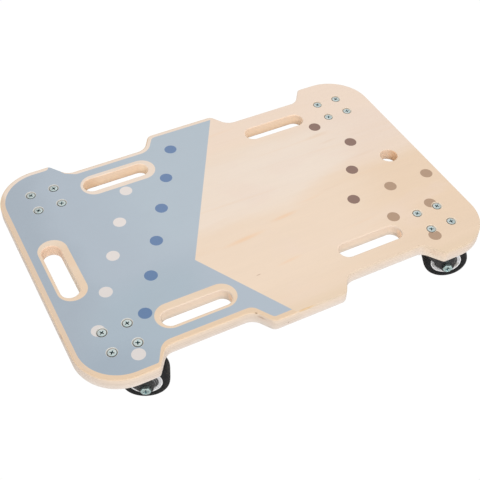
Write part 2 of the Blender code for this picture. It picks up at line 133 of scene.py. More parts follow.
def make_studio():
    sc = bpy.context.scene
    sc.view_settings.view_transform = "Standard"
    sc.view_settings.look = "None"
    world = bpy.data.worlds.new("studio_white")
    world.use_nodes = True
    nt = world.node_tree
    bg = nt.nodes["Background"]
    bg.inputs["Color"].default_value = (1.0, 1.0, 1.0, 1.0)
    # a little over white behind the sweep's edge, for the camera only
    path = nt.nodes.new("ShaderNodeLightPath")
    level = nt.nodes.new("ShaderNodeMath")
    level.operation = "MULTIPLY_ADD"
    nt.links.new(path.outputs["Is Camera Ray"], level.inputs[0])
    level.inputs[1].default_value = 1.02 - SURROUND
    level.inputs[2].default_value = SURROUND
    nt.links.new(level.outputs[0], bg.inputs["Strength"])
    sc.world = world
    for name, (direction, distance, size, level, colour) in LAMPS.items():
        area_light(name, direction, distance, size, level, colour)

    def plane(name, z, mat):
        me = bpy.data.meshes.new(name)
        s = 30.0
        me.from_pydata([(-s, -s, z), (s, -s, z), (s, s, z), (-s, s, z)], [], [(0, 1, 2, 3)])
        me.materials.append(mat)
        ob = bpy.data.objects.new(name, me)
        sc.collection.objects.link(ob)
        return ob

    # the sweep is lit to plain white, and its underside is clear so that the board can be seen from below
    white = bpy.data.materials.new("white_sweep")
    white.use_nodes = True
    nt = white.node_tree
    nt.nodes.clear()
    out = nt.nodes.new("ShaderNodeOutputMaterial")
    em = nt.nodes.new("ShaderNodeEmission")
    em.inputs["Color"].default_value = (1, 1, 1, 1)
    em.inputs["Strength"].default_value = 1.02
    clear = nt.nodes.new("ShaderNodeBsdfTransparent")
    side = nt.nodes.new("ShaderNodeNewGeometry")
    mix = nt.nodes.new("ShaderNodeMixShader")
    nt.links.new(side.outputs["Backfacing"], mix.inputs[0])
    nt.links.new(em.outputs[0], mix.inputs[1])
    nt.links.new(clear.outputs[0], mix.inputs[2])
    nt.links.new(mix.outputs[0], out.inputs["Surface"])
    floor = plane("floor", 0.0, white)
    floor.visible_diffuse = False
    floor.visible_glossy = False
    floor.visible_shadow = False

    card = bpy.data.materials.new("white_card")
    card.use_nodes = True
    card.node_tree.nodes["Principled BSDF"].inputs["Base Color"].default_value = (0.82, 0.81, 0.80, 1)
    card.node_tree.nodes["Principled BSDF"].inputs["Roughness"].default_value = 1.0
    card.node_tree.nodes["Principled BSDF"].inputs["Specular IOR Level"].default_value = 0.0
    bounce = plane("floor_bounce", -0.0005, card)
    bounce.visible_camera = False


make_studio()


# ------------------------------------------------------------------ shader helpers
def linear(rgb):
    out = []
    for c in rgb:
        c = c / 255.0
        out.append(c / 12.92 if c <= 0.04045 else ((c + 0.055) / 1.055) ** 2.4)
    return out


class Shader:
    """A Principled material and short calls that add nodes to it."""

    def __init__(self, name, roughness=0.5, metallic=0.0, specular=0.5):
        self.mat = bpy.data.materials.new(name)
        self.mat.use_nodes = True
        self.nt = self.mat.node_tree
        self.bsdf = self.nt.nodes["Principled BSDF"]
        self.bsdf.inputs["Roughness"].default_value = roughness
        self.bsdf.inputs["Metallic"].default_value = metallic
        self.bsdf.inputs["Specular IOR Level"].default_value = specular
        self.coords = self.nt.nodes.new("ShaderNodeTexCoord")

    def put(self, socket, value):
        if isinstance(value, bpy.types.NodeSocket):
            self.nt.links.new(value, socket)
        elif value is not None:
            socket.default_value = value

    def place(self, scale, offset=(0, 0, 0), vector=None, rotation=(0, 0, 0)):
        m = self.nt.nodes.new("ShaderNodeMapping")
        m.inputs["Scale"].default_value = scale
        m.inputs["Location"].default_value = offset
        m.inputs["Rotation"].default_value = rotation
        self.nt.links.new(vector or self.coords.outputs["Object"], m.inputs["Vector"])
        return m.outputs["Vector"]

    def noise(self, scale, detail=2.0, rough=0.5, distortion=0.0, offset=(0, 0, 0), vector=None, rotation=(0, 0, 0)):
        n = self.nt.nodes.new("ShaderNodeTexNoise")
        n.inputs["Scale"].default_value = 1.0
        n.inputs["Detail"].default_value = detail
        n.inputs["Roughness"].default_value = rough
        n.inputs["Distortion"].default_value = distortion
        self.nt.links.new(self.place(scale, offset, vector, rotation), n.inputs["Vector"])
        return n.outputs["Fac"]

    def ramp(self, fac, stops, interpolation="LINEAR"):
        r = self.nt.nodes.new("ShaderNodeValToRGB")
        r.color_ramp.interpolation = interpolation
        e = r.color_ramp.elements
        while len(e) < len(stops):
            e.new(0.5)
        for el, (pos, col) in zip(e, stops):
            el.position = pos
            if not hasattr(col, "__len__"):
                col = (col, col, col)
            el.color = (*col[:3], 1.0)
        self.nt.links.new(fac, r.inputs["Fac"])
        return r.outputs["Color"]

    def remap(self, fac, a, b, c, d, clamp=True, smooth=False):
        r = self.nt.nodes.new("ShaderNodeMapRange")
        r.clamp = clamp
        if smooth:
            r.interpolation_type = "SMOOTHSTEP"
        for k, v in (("From Min", a), ("From Max", b), ("To Min", c), ("To Max", d)):
            r.inputs[k].default_value = v
        self.put(r.inputs["Value"], fac)
        return r.outputs["Result"]

    def rise(self, value, a, b):
        """0 below a, 1 above b, smooth between."""
        return self.remap(value, a, b, 0.0, 1.0, smooth=True)

    def fall(self, value, a, b):
        return self.remap(value, a, b, 1.0, 0.0, smooth=True)

    def math(self, op, a, b=None, c=None):
        n = self.nt.nodes.new("ShaderNodeMath")
        n.operation = op
        for s, v in zip(n.inputs, (a, b, c)):
            self.put(s, v)
        return n.outputs[0]

    def times(self, *values):
        out = values[0]
        for v in values[1:]:
            out = self.math("MULTIPLY", out, v)
        return out

    def plus(self, *values):
        out = values[0]
        for v in values[1:]:
            out = self.math("ADD", out, v)
        return out

    def vector(self, x, y, z):
        n = self.nt.nodes.new("ShaderNodeCombineXYZ")
        for s, v in zip(n.inputs, (x, y, z)):
            self.put(s, v)
        return n.outputs[0]

    def mix(self, fac, a, b, mode="MIX"):
        n = self.nt.nodes.new("ShaderNodeMix")
        n.data_type = "RGBA"
        n.blend_type = mode
        n.clamp_factor = True
        self.put(n.inputs[0], fac)
        for s, v in ((n.inputs[6], a), (n.inputs[7], b)):
            if isinstance(v, bpy.types.NodeSocket):
                self.nt.links.new(v, s)
            else:
                s.default_value = (*v[:3], 1.0)
        return n.outputs[2]

    def scaled(self, colour, factor):
        """Colour times a grey factor socket."""
        n = self.nt.nodes.new("ShaderNodeVectorMath")
        n.operation = "SCALE"
        self.put(n.inputs[0], colour)
        self.put(n.inputs["Scale"], factor)
        return n.outputs[0]

    def axis(self, name):
        s = getattr(self, "_split", None)
        if s is None:
            s = self._split = self.nt.nodes.new("ShaderNodeSeparateXYZ")
            self.nt.links.new(self.coords.outputs["Object"], s.inputs[0])
        return s.outputs[name]

    def facing(self, name):
        """How far the surface faces along an axis of its own, without sign."""
        s = getattr(self, "_facing", None)
        if s is None:
            s = self._facing = self.nt.nodes.new("ShaderNodeSeparateXYZ")
            self.nt.links.new(self.coords.outputs["Normal"], s.inputs[0])
        return self.math("ABSOLUTE", s.outputs[name])

    def spot(self, centre, radii, angle=0.0, soft=0.5):
        """1 in the middle of a small ellipsoid, falling to 0 at its rim (metres)."""
        m = self.nt.nodes.new("ShaderNodeMapping")
        m.vector_type = "TEXTURE"
        m.inputs["Location"].default_value = centre
        m.inputs["Rotation"].default_value = (0, 0, angle)
        m.inputs["Scale"].default_value = radii
        self.nt.links.new(self.coords.outputs["Object"], m.inputs["Vector"])
        d = self.nt.nodes.new("ShaderNodeVectorMath")
        d.operation = "LENGTH"
        self.nt.links.new(m.outputs["Vector"], d.inputs[0])
        return self.remap(d.outputs["Value"], soft, 1.0, 1.0, 0.0, smooth=True)

    def colour(self, value):
        self.put(self.bsdf.inputs["Base Color"], value)

    def rough(self, value):
        self.put(self.bsdf.inputs["Roughness"], value)

    def bump(self, height, strength, distance):
        b = self.nt.nodes.new("ShaderNodeBump")
        b.inputs["Strength"].default_value = strength
        b.inputs["Distance"].default_value = distance
        self.nt.links.new(height, b.inputs["Height"])
        prev = self.bsdf.inputs["Normal"]
        if prev.is_linked:
            self.nt.links.new(prev.links[0].from_socket, b.inputs["Normal"])
        self.nt.links.new(b.outputs["Normal"], self.bsdf.inputs["Normal"])


# ------------------------------------------------------------------ materials
EXPOSE = 1.27   # light on an open upward face, relative to a white one shown at full white


def albedo(rgb):
    return [c / EXPOSE for c in linear(rgb)]


def wood_grain(s, seed=0.0):
    """Rotary-cut birch, grain along X: slow streaks, fibre and short pores, as factors round 1."""
    streak = s.noise((6.0, 80.0, 80.0), 3.0, 0.55, 0.7, offset=(seed, 0.3 + seed, 0))
    fibre = s.noise((48.0, 1500.0, 1500.0), 2.0, 0.6, 0.0, offset=(0, seed, 0))
    pores = s.noise((170.0, 3300.0, 3300.0), 1.0, 0.5, 0.0, offset=(seed, 0, 2))
    f = s.times(s.remap(streak, 0.25, 0.75, 0.985, 1.014), s.remap(fibre, 0.2, 0.8, 0.982, 1.018),
                s.remap(pores, 0.66, 0.80, 1.0, 0.93))
    return f, streak, fibre, pores


def veneer_top():
    """Face veneer of the bare half: a broad paler sheet in the middle, warmer and plainer towards the near side."""
    s = Shader("birch_veneer", 0.50, 0.0, 0.35)
    factor, streak, fibre, pores = wood_grain(s)
    x, y = s.axis("X"), s.axis("Y")
    wander = s.noise((7.0, 34.0, 1.0), 3.0, 0.55, 0.8, offset=(2.0, 7.0, 0))
    cloud = s.noise((6.0, 22.0, 1.0), 3.0, 0.5, 0.9, offset=(4.1, 1.7, 0))
    patch = s.noise((11.0, 15.0, 1.0), 2.0, 0.5, 0.5, offset=(8.3, 2.9, 0))
    yw = s.plus(y, s.remap(wander, 0.2, 0.8, -0.016, 0.016, clamp=False))
    xw = s.plus(x, s.remap(cloud, 0.2, 0.8, -0.034, 0.034, clamp=False))
    # warm towards the near right corner, cooler above it
    warm = s.times(s.rise(xw, 0.10, 0.24), s.fall(yw, -0.020, 0.028))
    col = s.mix(warm, albedo((239, 216, 193)), albedo((235, 209, 182)))
    col = s.mix(s.times(s.rise(xw, 0.10, 0.20), s.rise(yw, -0.015, 0.045)), col, albedo((238, 217, 200)))
    low = s.math("MULTIPLY_ADD", s.math("MAXIMUM", s.plus(x, -0.060), 0.0), 0.42, -0.036)
    up = s.rise(s.math("SUBTRACT", yw, low), -0.004, 0.026)
    pale = s.times(up, s.fall(yw, 0.082, 0.130), s.fall(xw, 0.160, 0.235))
    heart = s.times(s.rise(xw, -0.05, 0.03), s.fall(xw, 0.12, 0.19), s.rise(yw, -0.01, 0.02), s.fall(yw, 0.06, 0.10))
    amount = s.times(pale, s.math("MULTIPLY_ADD", heart, 0.22, 0.80), s.remap(cloud, 0.3, 0.7, 0.86, 1.08))
    col = s.mix(amount, col, albedo((240, 223, 207)))
    col = s.mix(s.times(s.rise(yw, 0.092, 0.132), 0.9), col, albedo((241, 219, 200)))
    # the sheet pales and darkens in broad patches, and towards the near edge
    col = s.mix(s.remap(patch, 0.56, 0.74, 0.0, 0.35, smooth=True), col, albedo((238, 215, 199)))
    near = s.times(s.fall(yw, -0.170, -0.110), s.rise(xw, 0.02, 0.20))
    col = s.mix(s.times(near, 0.75), col, albedo((232, 206, 179)))
    col = s.mix(s.times(s.fall(yw, -0.175, -0.120), 0.5), col, albedo((234, 210, 185)))
    col = s.mix(s.times(s.fall(y, -0.184, -0.170), 0.55), col, albedo((229, 205, 176)))
    # painted shade: where the top turns down over its near edge it is painted a little greyer and darker
    turned = s.times(s.fall(s.facing("Z"), 0.90, 0.99), s.fall(y, -0.160, -0.150))
    col = s.mix(turned, col, (0.925, 0.945, 0.955), "MULTIPLY")
    # faint warm streaks of the annual rings
    for cx, cy, rx, ry, k in ((-0.020, -0.054, 0.040, 0.0052, 0.80), (0.046, -0.040, 0.028, 0.0046, 0.80),
                              (0.014, -0.112, 0.024, 0.0034, 0.50), (0.095, -0.026, 0.030, 0.0030, 0.30),
                              (0.135, -0.094, 0.040, 0.0028, 0.22), (-0.030, 0.126, 0.030, 0.0030, 0.25),
                              (0.040, 0.150, 0.050, 0.0035, 0.22)):
        m = s.times(s.spot((cx, cy, 0.103), (rx, ry, 0.01), 0.08, 0.05), k, s.remap(cloud, 0.3, 0.7, 0.7, 1.2))
        col = s.mix(m, col, albedo((242, 204, 168)))
    for cx, cy, rx, ry, k in ((0.170, 0.084, 0.030, 0.0045, 0.40), (0.178, 0.066, 0.022, 0.0030, 0.30),
                              (0.208, 0.020, 0.030, 0.0035, 0.25), (0.130, -0.020, 0.028, 0.0030, 0.25)):
        m = s.times(s.spot((cx, cy, 0.103), (rx, ry, 0.01), 0.06, 0.1), k)
        col = s.mix(m, col, albedo((230, 201, 174)))
    figure = s.noise((2.8, 60.0, 60.0), 3.0, 0.5, 1.2, offset=(9.2, 5.0, 0))
    col = s.mix(s.remap(figure, 0.58, 0.74, 0.0, 0.22, smooth=True), col, albedo((238, 208, 178)))
    # a small mineral fleck, and the sanded-through line beside the end of the print
    mark = s.spot((-0.0330, -0.1160, 0.103), (0.0042, 0.00085, 0.01), 0.05, 0.35)
    col = s.mix(s.times(mark, 0.75), col, albedo((186, 152, 128)))
    line = s.spot((-0.0080, -0.1888, 0.1024), (0.0180, 0.0016, 0.0016), 0.0, 0.35)
    col = s.mix(s.times(line, 0.8), col, albedo((226, 190, 142)))
    s.colour(s.scaled(col, factor))
    s.rough(s.remap(streak, 0.3, 0.7, 0.46, 0.56))
    s.bump(fibre, 0.25, 0.00004)
    s.bump(pores, 0.20, 0.00003)
    return s.mat


def veneer_margin():
    """The bare band round the print, sanded after printing."""
    s = Shader("birch_margin", 0.58, 0.0, 0.3)
    factor, streak, fibre, pores = wood_grain(s, 2.3)
    x, y = s.axis("X"), s.axis("Y")
    cloud = s.noise((14.0, 30.0, 30.0), 2.0, 0.5, 0.9, offset=(6.4, 1.7, 0))
    col = s.mix(s.remap(cloud, 0.3, 0.7, 0.0, 1.0), albedo((235, 212, 187)), albedo((234, 207, 179)))
    col = s.mix(s.rise(y, 0.02, 0.10), col, s.mix(s.remap(cloud, 0.3, 0.7, 0.0, 1.0), albedo((240, 223, 208)), albedo((237, 217, 198))))
    col = s.mix(s.fall(y, -0.160, -0.152), col, albedo((231, 203, 173)))
    col = s.mix(s.fall(x, -0.276, -0.268), col, albedo((225, 200, 175)))
    s.colour(s.scaled(col, factor))
    s.rough(s.remap(streak, 0.3, 0.7, 0.52, 0.64))
    s.bump(fibre, 0.3, 0.00005)
    return s.mat


def veneer_back():
    """Face veneer of the underside, a plainer grade with a couple of pin knots."""
    s = Shader("birch_back_veneer", 0.60, 0.0, 0.3)
    factor, streak, fibre, pores = wood_grain(s, 6.1)
    cloud = s.noise((3.6, 15.0, 15.0), 2.0, 0.5, 0.9, offset=(10.2, 1.7, 0))
    figure = s.noise((2.4, 30.0, 30.0), 3.0, 0.5, 1.6, offset=(15.0, 5.0, 0))
    col = s.mix(s.remap(cloud, 0.28, 0.72, 0.0, 1.0), albedo((238, 218, 198)), albedo((233, 207, 180)))
    col = s.mix(s.remap(figure, 0.54, 0.72, 0.0, 0.5, smooth=True), col, albedo((228, 194, 158)))
    for cx, cy, r in ((-0.065, 0.052, 0.0042), (0.112, -0.058, 0.0034), (0.046, 0.121, 0.0026)):
        halo = s.spot((cx, cy, 0.085), (r * 2.6, r * 1.7, 0.004), 0.0, 0.2)
        col = s.mix(s.times(halo, 0.45), col, albedo((214, 172, 130)))
        knot = s.spot((cx, cy, 0.085), (r, r * 0.8, 0.004), 0.3, 0.55)
        col = s.mix(s.times(knot, 0.8), col, albedo((152, 108, 76)))
    s.colour(s.scaled(col, factor))
    s.rough(s.remap(streak, 0.3, 0.7, 0.54, 0.68))
    s.bump(fibre, 0.3, 0.00005)
    s.bump(pores, 0.25, 0.00004)
    return s.mat
PLIES = 13


def plies(s, contrast, glue, seed=0.0):
    """Veneers seen from the side, as a factor round 1, and the glue lines between them.

    Every other ply shows its end grain; which ones do turns over between the long and the short sides."""
    x, y = s.axis("X"), s.axis("Y")
    wave = s.noise((9.0, 9.0, 70.0), 2.0, 0.5, 0.0, offset=(3.0 + seed, 0, 0))
    z = s.plus(s.axis("Z"), s.remap(wave, 0.0, 1.0, -0.00022, 0.00022, clamp=False))
    depth = s.remap(z, 0.103, 0.085, 0.0, 1.0)
    p = s.times(depth, float(PLIES))
    index = s.math("FLOOR", p)
    part = s.math("FRACT", p)
    odd = s.math("MODULO", index, 2.0)
    turned_round = s.rise(s.facing("X"), 0.55, 0.85)
    end = s.math("ABSOLUTE", s.math("SUBTRACT", odd, turned_round))
    tone = s.noise((1.0, 1.0, 1.0), 0.0, 0.5, offset=(seed, 0, 0), vector=s.vector(0.0, seed, s.times(index, 3.71)))
    along = s.noise((26.0, 26.0, 900.0), 3.0, 0.6, 0.3, offset=(1, 2 + seed, 3))
    ends = s.noise((900.0, 900.0, 1300.0), 2.0, 0.6, offset=(4, 4, 4 + seed))
    fine = s.noise((300.0, 300.0, 900.0), 2.0, 0.5, offset=(seed, 8, 5))
    long_grain = s.times(s.remap(along, 0.25, 0.75, 0.975, 1.022), s.remap(fine, 0.3, 0.7, 0.985, 1.012))
    end_grain = s.times(s.remap(ends, 0.3, 0.7, 0.955, 1.012), s.remap(fine, 0.3, 0.7, 0.98, 1.01), 1.0 - contrast)
    n = s.nt.nodes.new("ShaderNodeMix")
    n.data_type = "FLOAT"
    s.put(n.inputs[0], end)
    s.put(n.inputs[2], long_grain)
    s.put(n.inputs[3], end_grain)
    factor = s.times(n.outputs[0], s.remap(tone, 0.3, 0.7, 0.988, 1.012))
    # glue: thin lines at the ply boundaries, broken along their run
    near = s.math("ABSOLUTE", s.plus(part, -0.5))
    line = s.rise(near, 0.415, 0.485)
    which = s.math("ROUND", p)
    run = s.noise((1.0, 1.0, 1.0), 2.0, 0.55, 0.0, vector=s.vector(s.times(x, 38.0), s.times(y, 38.0), s.times(which, 5.3)),
                  offset=(seed, seed, 0))
    line = s.times(line, s.remap(run, 0.36, 0.66, 0.15, 1.0), glue)
    return depth, factor, line, along, ends, fine, end


def ply_edge():
    """The outer edge. On the printed half its arris is sanded to a warm tan; on the bare half the veneer runs over."""
    s = Shader("ply_edge", 0.62, 0.0, 0.3)
    depth, f, line, along, ends, fine, end = plies(s, 0.030, 0.16)
    x, y = s.axis("X"), s.axis("Y")

    def tone(*rgb):
        return [c * 1.04 for c in albedo(rgb)]

    printed = s.fall(s.math("SUBTRACT", x, s.math("MULTIPLY_ADD", y, 0.18, 0.0157)), -0.006, 0.012)
    left = s.rise(s.facing("X"), 0.55, 0.85)
    wall = s.ramp(depth, [(0.0, tone(234, 212, 190)), (0.09, tone(233, 213, 192)), (0.28, tone(233, 214, 196)),
                          (0.45, tone(232, 214, 198)), (0.62, tone(231, 216, 202)), (0.80, tone(231, 218, 207)),
                          (0.95, tone(235, 224, 216))])
    wall_left = s.ramp(depth, [(0.0, tone(229, 206, 184)), (0.12, tone(232, 213, 195)), (0.40, tone(235, 217, 202)),
                               (0.65, tone(236, 222, 209)), (0.90, tone(237, 226, 216))])
    col = s.mix(left, wall, wall_left)
    arris = s.times(printed, s.fall(depth, 0.020, 0.070))
    col = s.mix(arris, col, tone(229, 202, 172))
    # one darker ply in the middle of the printed half's long sides
    mid = s.times(printed, s.rise(depth, 0.30, 0.385), s.fall(depth, 0.50, 0.60), s.math("SUBTRACT", 1.0, left))
    col = s.mix(s.times(mid, 0.60), col, tone(222, 206, 190))
    col = s.mix(line, col, albedo((168, 128, 92)))
    # longer dark glue seams low on the printed half
    seam_run = s.noise((20.0, 20.0, 20.0), 2.0, 0.5, offset=(0, 7, 1))
    for at, k in ((0.605, 0.62), (0.76, 0.48), (0.385, 0.20)):
        off = s.math("ABSOLUTE", s.plus(depth, -at))
        seam = s.times(s.fall(off, 0.008, 0.026), s.remap(seam_run, 0.42, 0.60, 0.0, 1.0), s.math("MULTIPLY_ADD", printed, 0.75, 0.25))
        col = s.mix(s.times(seam, k), col, albedo((170, 134, 102)))
    # a core void, a filled patch, a knot's end, two specks and a dark streak, as plywood edges have
    void = s.spot((-0.0643, -0.1684, 0.1026), (0.0024, 0.0015, 0.0014), -1.0, 0.2)
    col = s.mix(s.times(void, 0.75), col, albedo((140, 106, 80)))
    patch = s.spot((-0.0602, -0.1742, 0.0985), (0.0085, 0.0028, 0.0024), -1.005, 0.1)
    col = s.mix(s.times(patch, s.remap(along, 0.3, 0.7, 0.35, 0.75)), col, albedo((176, 138, 104)))
    # the near front lobe: its flank is painted warmer and paler as painted light, with a scatter of tiny flecks
    flank = s.times(s.rise(x, 0.176, 0.186), s.fall(x, 0.196, 0.204), s.fall(y, -0.163, -0.155))
    col = s.mix(flank, col, (1.095, 1.060, 0.990), "MULTIPLY")
    for cx, cy, cz, r in ((0.1874, -0.1745, 0.0945, 0.0010), (0.1893, -0.1770, 0.0992, 0.0009), (0.1905, -0.1787, 0.0958, 0.0008),
                          (0.1912, -0.1797, 0.0925, 0.0011), (0.1928, -0.1820, 0.0945, 0.0010), (0.1888, -0.1764, 0.0915, 0.0008)):
        fleck = s.spot((cx, cy, cz), (r * 1.4, r * 1.4, r), 0.0, 0.2)
        col = s.mix(s.times(fleck, 0.42), col, albedo((170, 134, 104)))
    knot = s.spot((0.1900, -0.1780, 0.0955), (0.0080, 0.0080, 0.0055), 0.0, 0.1)
    col = s.mix(s.times(knot, 0.30), col, albedo((224, 190, 158)))
    # the bare half's arris is a shade darker and greyer, and so is the corner beyond the lobe
    bare = s.math("SUBTRACT", 1.0, printed)
    col = s.mix(s.times(bare, s.fall(depth, 0.05, 0.13), 0.9), col, (0.945, 0.955, 0.960), "MULTIPLY")
    col = s.mix(s.times(s.rise(x, 0.190, 0.206), s.fall(y, -0.120, -0.100)), col, (0.965, 0.950, 0.935), "MULTIPLY")
    for cx, cy, cz, r in ((-0.0316, -0.1900, 0.0908, 0.0011), (0.2038, -0.1895, 0.0882, 0.0010)):
        speck = s.spot((cx, cy, cz), (r, r, r * 0.7), 0.0, 0.3)
        col = s.mix(s.times(speck, 0.8), col, albedo((120, 84, 60)))
    streak = s.spot((-0.2826, -0.0970, 0.1000), (0.0030, 0.0085, 0.0032), 0.0, 0.2)
    col = s.mix(s.times(streak, 0.70), col, albedo((158, 108, 76)))
    long_streak = s.spot((-0.2832, -0.0500, 0.0975), (0.0030, 0.0450, 0.0012), 0.0, 0.1)
    col = s.mix(s.times(long_streak, 0.35), col, albedo((196, 150, 112)))
    s.colour(s.scaled(col, f))
    s.rough(s.remap(fine, 0.3, 0.7, 0.56, 0.70))
    s.bump(along, 0.30, 0.00010)
    s.bump(ends, 0.30, 0.00008)
    return s.mat


def slot_edge():
    """Routed wall of a hand slot: clean cut wood, paler than the outer edge, with its brightness raised as painted
    light and a warmer far side as painted bounce light.
    """
    s = Shader("ply_edge_routed", 0.6, 0.0, 0.3)
    depth, f, line, along, ends, fine, end = plies(s, 0.022, 0.13, seed=4.7)
    x, y = s.axis("X"), s.axis("Y")
    # painted light: these wall colours stand for light reaching into the slots, and darken towards the bottom as
    # painted shade; the warm copy on the far side stands for bounce light
    pale = s.ramp(depth, [(0.05, albedo((247, 226, 206))), (0.17, albedo((254, 232, 212))), (0.30, albedo((256, 235, 213))),
                          (0.50, albedo((256, 235, 214))), (0.61, albedo((254, 234, 214))), (0.72, albedo((246, 230, 212))),
                          (1.0, albedo((238, 222, 206)))])
    warm = s.ramp(depth, [(0.05, albedo((255, 227, 201))), (0.17, albedo((266, 239, 213))), (0.30, albedo((271, 244, 216))),
                          (0.50, albedo((272, 244, 215))), (0.61, albedo((270, 242, 212))), (0.72, albedo((266, 237, 206))),
                          (1.0, albedo((250, 220, 190)))])
    col = s.mix(s.rise(y, -0.09, 0.09), pale, warm)
    # painted light: the end slot's wall is paler and greyer towards the bottom, standing for light from the floor below
    end_slot = s.ramp(depth, [(0.05, albedo((252, 230, 208))), (0.20, albedo((257, 238, 216))), (0.70, albedo((260, 243, 222))),
                              (1.0, albedo((252, 240, 226)))])
    col = s.mix(s.fall(x, -0.225, -0.200), col, end_slot)
    col = s.mix(line, col, albedo((166, 124, 88)))
    burn_noise = s.noise((240.0, 240.0, 500.0), 2.0, 0.6, offset=(5, 5, 0))
    for cx, cy, k in ((-0.0815, -0.1225, 0.10), (0.1660, -0.1225, 0.06), (-0.1610, 0.1350, 0.45), (0.0860, 0.1350, 0.28)):
        burn = s.spot((cx, cy, 0.0965), (0.0062, 0.0075, 0.0075), 0.0, 0.1)
        col = s.mix(s.times(burn, s.remap(burn_noise, 0.3, 0.7, 0.5, 1.0), k), col, albedo((196, 156, 122)))
    # painted light brightens the slots' forward end walls; the far rear end and the rope hole are scorched by the
    # cutter
    ends_on = s.rise(s.facing("X"), 0.25, 0.80)
    painted_light_ends = s.times(s.rise(x, -0.095, -0.086), s.fall(x, -0.070, -0.060))
    painted_light_ends = s.plus(painted_light_ends, s.times(s.rise(x, 0.150, 0.160), s.fall(x, 0.180, 0.190)))
    low = s.fall(s.axis("Z"), 0.0980, 0.1005)
    col = s.mix(s.times(painted_light_ends, ends_on, s.fall(y, -0.1275, -0.1225), low), col, (1.30, 1.17, 1.07), "MULTIPLY")
    col = s.mix(s.times(painted_light_ends, ends_on, s.rise(y, -0.05, 0.05), s.fall(x, 0.0, 0.05)), col, (1.12, 1.16, 1.16), "MULTIPLY")
    behind = s.times(s.fall(x, -0.155, -0.140), s.rise(x, -0.190, -0.180), s.rise(y, 0.05, 0.10))
    col = s.mix(behind, col, (0.92, 0.88, 0.83), "MULTIPLY")
    col = s.mix(s.times(s.fall(x, -0.225, -0.200), s.rise(y, 0.012, 0.030)), col, (1.02, 0.90, 0.84), "MULTIPLY")
    col = s.mix(s.rise(x, 0.215, 0.222), col, (0.93, 0.90, 0.88), "MULTIPLY")
    scorched = s.times(s.rise(x, 0.236, 0.246), s.fall(y, 0.004, 0.013), s.remap(burn_noise, 0.3, 0.7, 0.75, 1.1))
    col = s.mix(scorched, col, (1.13, 0.97, 0.80), "MULTIPLY")
    s.colour(s.scaled(col, f))
    s.rough(s.remap(fine, 0.3, 0.7, 0.54, 0.68))
    s.bump(along, 0.30, 0.00010)
    s.bump(ends, 0.25, 0.00006)
    return s.mat


def countersink():
    """Cut by the countersink bit: clean wood at the mouth, painted dark brown deeper down as the shade of the gap round
    the screw head.
    """
    s = Shader("ply_countersink", 0.55, 0.0, 0.3)
    fine = s.noise((700.0, 700.0, 700.0), 2.0, 0.5)
    z = s.plus(s.axis("Z"), s.remap(fine, 0.3, 0.7, -0.00010, 0.00010))
    depth = s.remap(z, 0.103, 0.100, 0.0, 1.0)
    # painted shade: the far wall darkens from higher up than the near one, and both go dark brown deeper down
    s.facing("Y")
    far = s.rise(s.math("MULTIPLY", s._facing.outputs["Y"], -1.0), 0.05, 0.45)
    bare_near = s.ramp(depth, [(0.0, albedo((250, 236, 218))), (0.45, albedo((246, 229, 208))),
                               (0.70, albedo((226, 202, 176))), (1.0, albedo((150, 124, 100)))])
    bare_far = s.ramp(depth, [(0.0, albedo((238, 221, 200))), (0.20, albedo((232, 212, 188))),
                              (0.36, albedo((150, 124, 102))), (1.0, albedo((96, 76, 60)))])
    bare = s.mix(far, bare_near, bare_far)
    # on the printed half some ink has run over the mouth, and deeper down it is painted dark as shade
    inked = s.ramp(depth, [(0.0, albedo((216, 217, 214))), (0.28, albedo((212, 208, 200))),
                           (0.40, albedo((134, 124, 114))), (1.0, albedo((84, 76, 70)))])
    col = s.mix(s.rise(s.axis("X"), -0.01, 0.01), inked, bare)
    s.colour(s.scaled(col, s.remap(fine, 0.3, 0.7, 0.94, 1.05)))
    s.rough(s.remap(fine, 0.3, 0.7, 0.5, 0.65))
    s.bump(fine, 0.3, 0.00004)
    return s.mat


def print_colour(name, rgb, seed=0.0, field=False, near=None, roughness=0.52):
    """Screen-printed ink: even and matt, with the veneer's fibres just showing through."""
    s = Shader(name, roughness, 0.0, 0.35)
    factor, streak, fibre, pores = wood_grain(s, seed)
    x, y = s.axis("X"), s.axis("Y")
    mottle = s.noise((38.0, 38.0, 38.0), 3.0, 0.55, offset=(seed, 0, 0))
    f = s.times(s.remap(mottle, 0.25, 0.75, 0.988, 1.012), s.remap(factor, 0.93, 1.03, 0.985, 1.010))
    # painted shade: a colour given a near value turns darker towards the near side
    col = s.mix(s.fall(y, -0.12, 0.06), albedo(rgb), albedo(near or rgb))
    if field:
        # painted shade: the field is darker towards the rear and the near side, where the light falls off
        cloud = s.noise((5.0, 7.0, 1.0), 2.0, 0.5, 0.6, offset=(3.0, 1.0, 0))
        w = s.remap(cloud, 0.3, 0.7, -0.02, 0.02)
        xw, yw = s.plus(x, w), s.plus(y, w)
        col = s.mix(s.times(s.rise(xw, -0.175, -0.085), s.rise(yw, -0.090, -0.010)), albedo(rgb), albedo((180, 192, 202)))
        col = s.mix(s.times(s.fall(yw, -0.100, -0.035), s.fall(xw, -0.145, -0.075)), col, albedo((170, 184, 195)))
        col = s.mix(s.fall(xw, -0.262, -0.205), col, albedo((167, 178, 189)))
        col = s.mix(s.times(s.fall(xw, -0.245, -0.150), s.fall(yw, -0.150, -0.085)), col, albedo((162, 175, 187)))
    s.colour(s.scaled(col, f))
    s.rough(s.remap(mottle, 0.3, 0.7, roughness - 0.04, roughness + 0.05))
    s.bump(fibre, 0.18, 0.00003)
    return s.mat


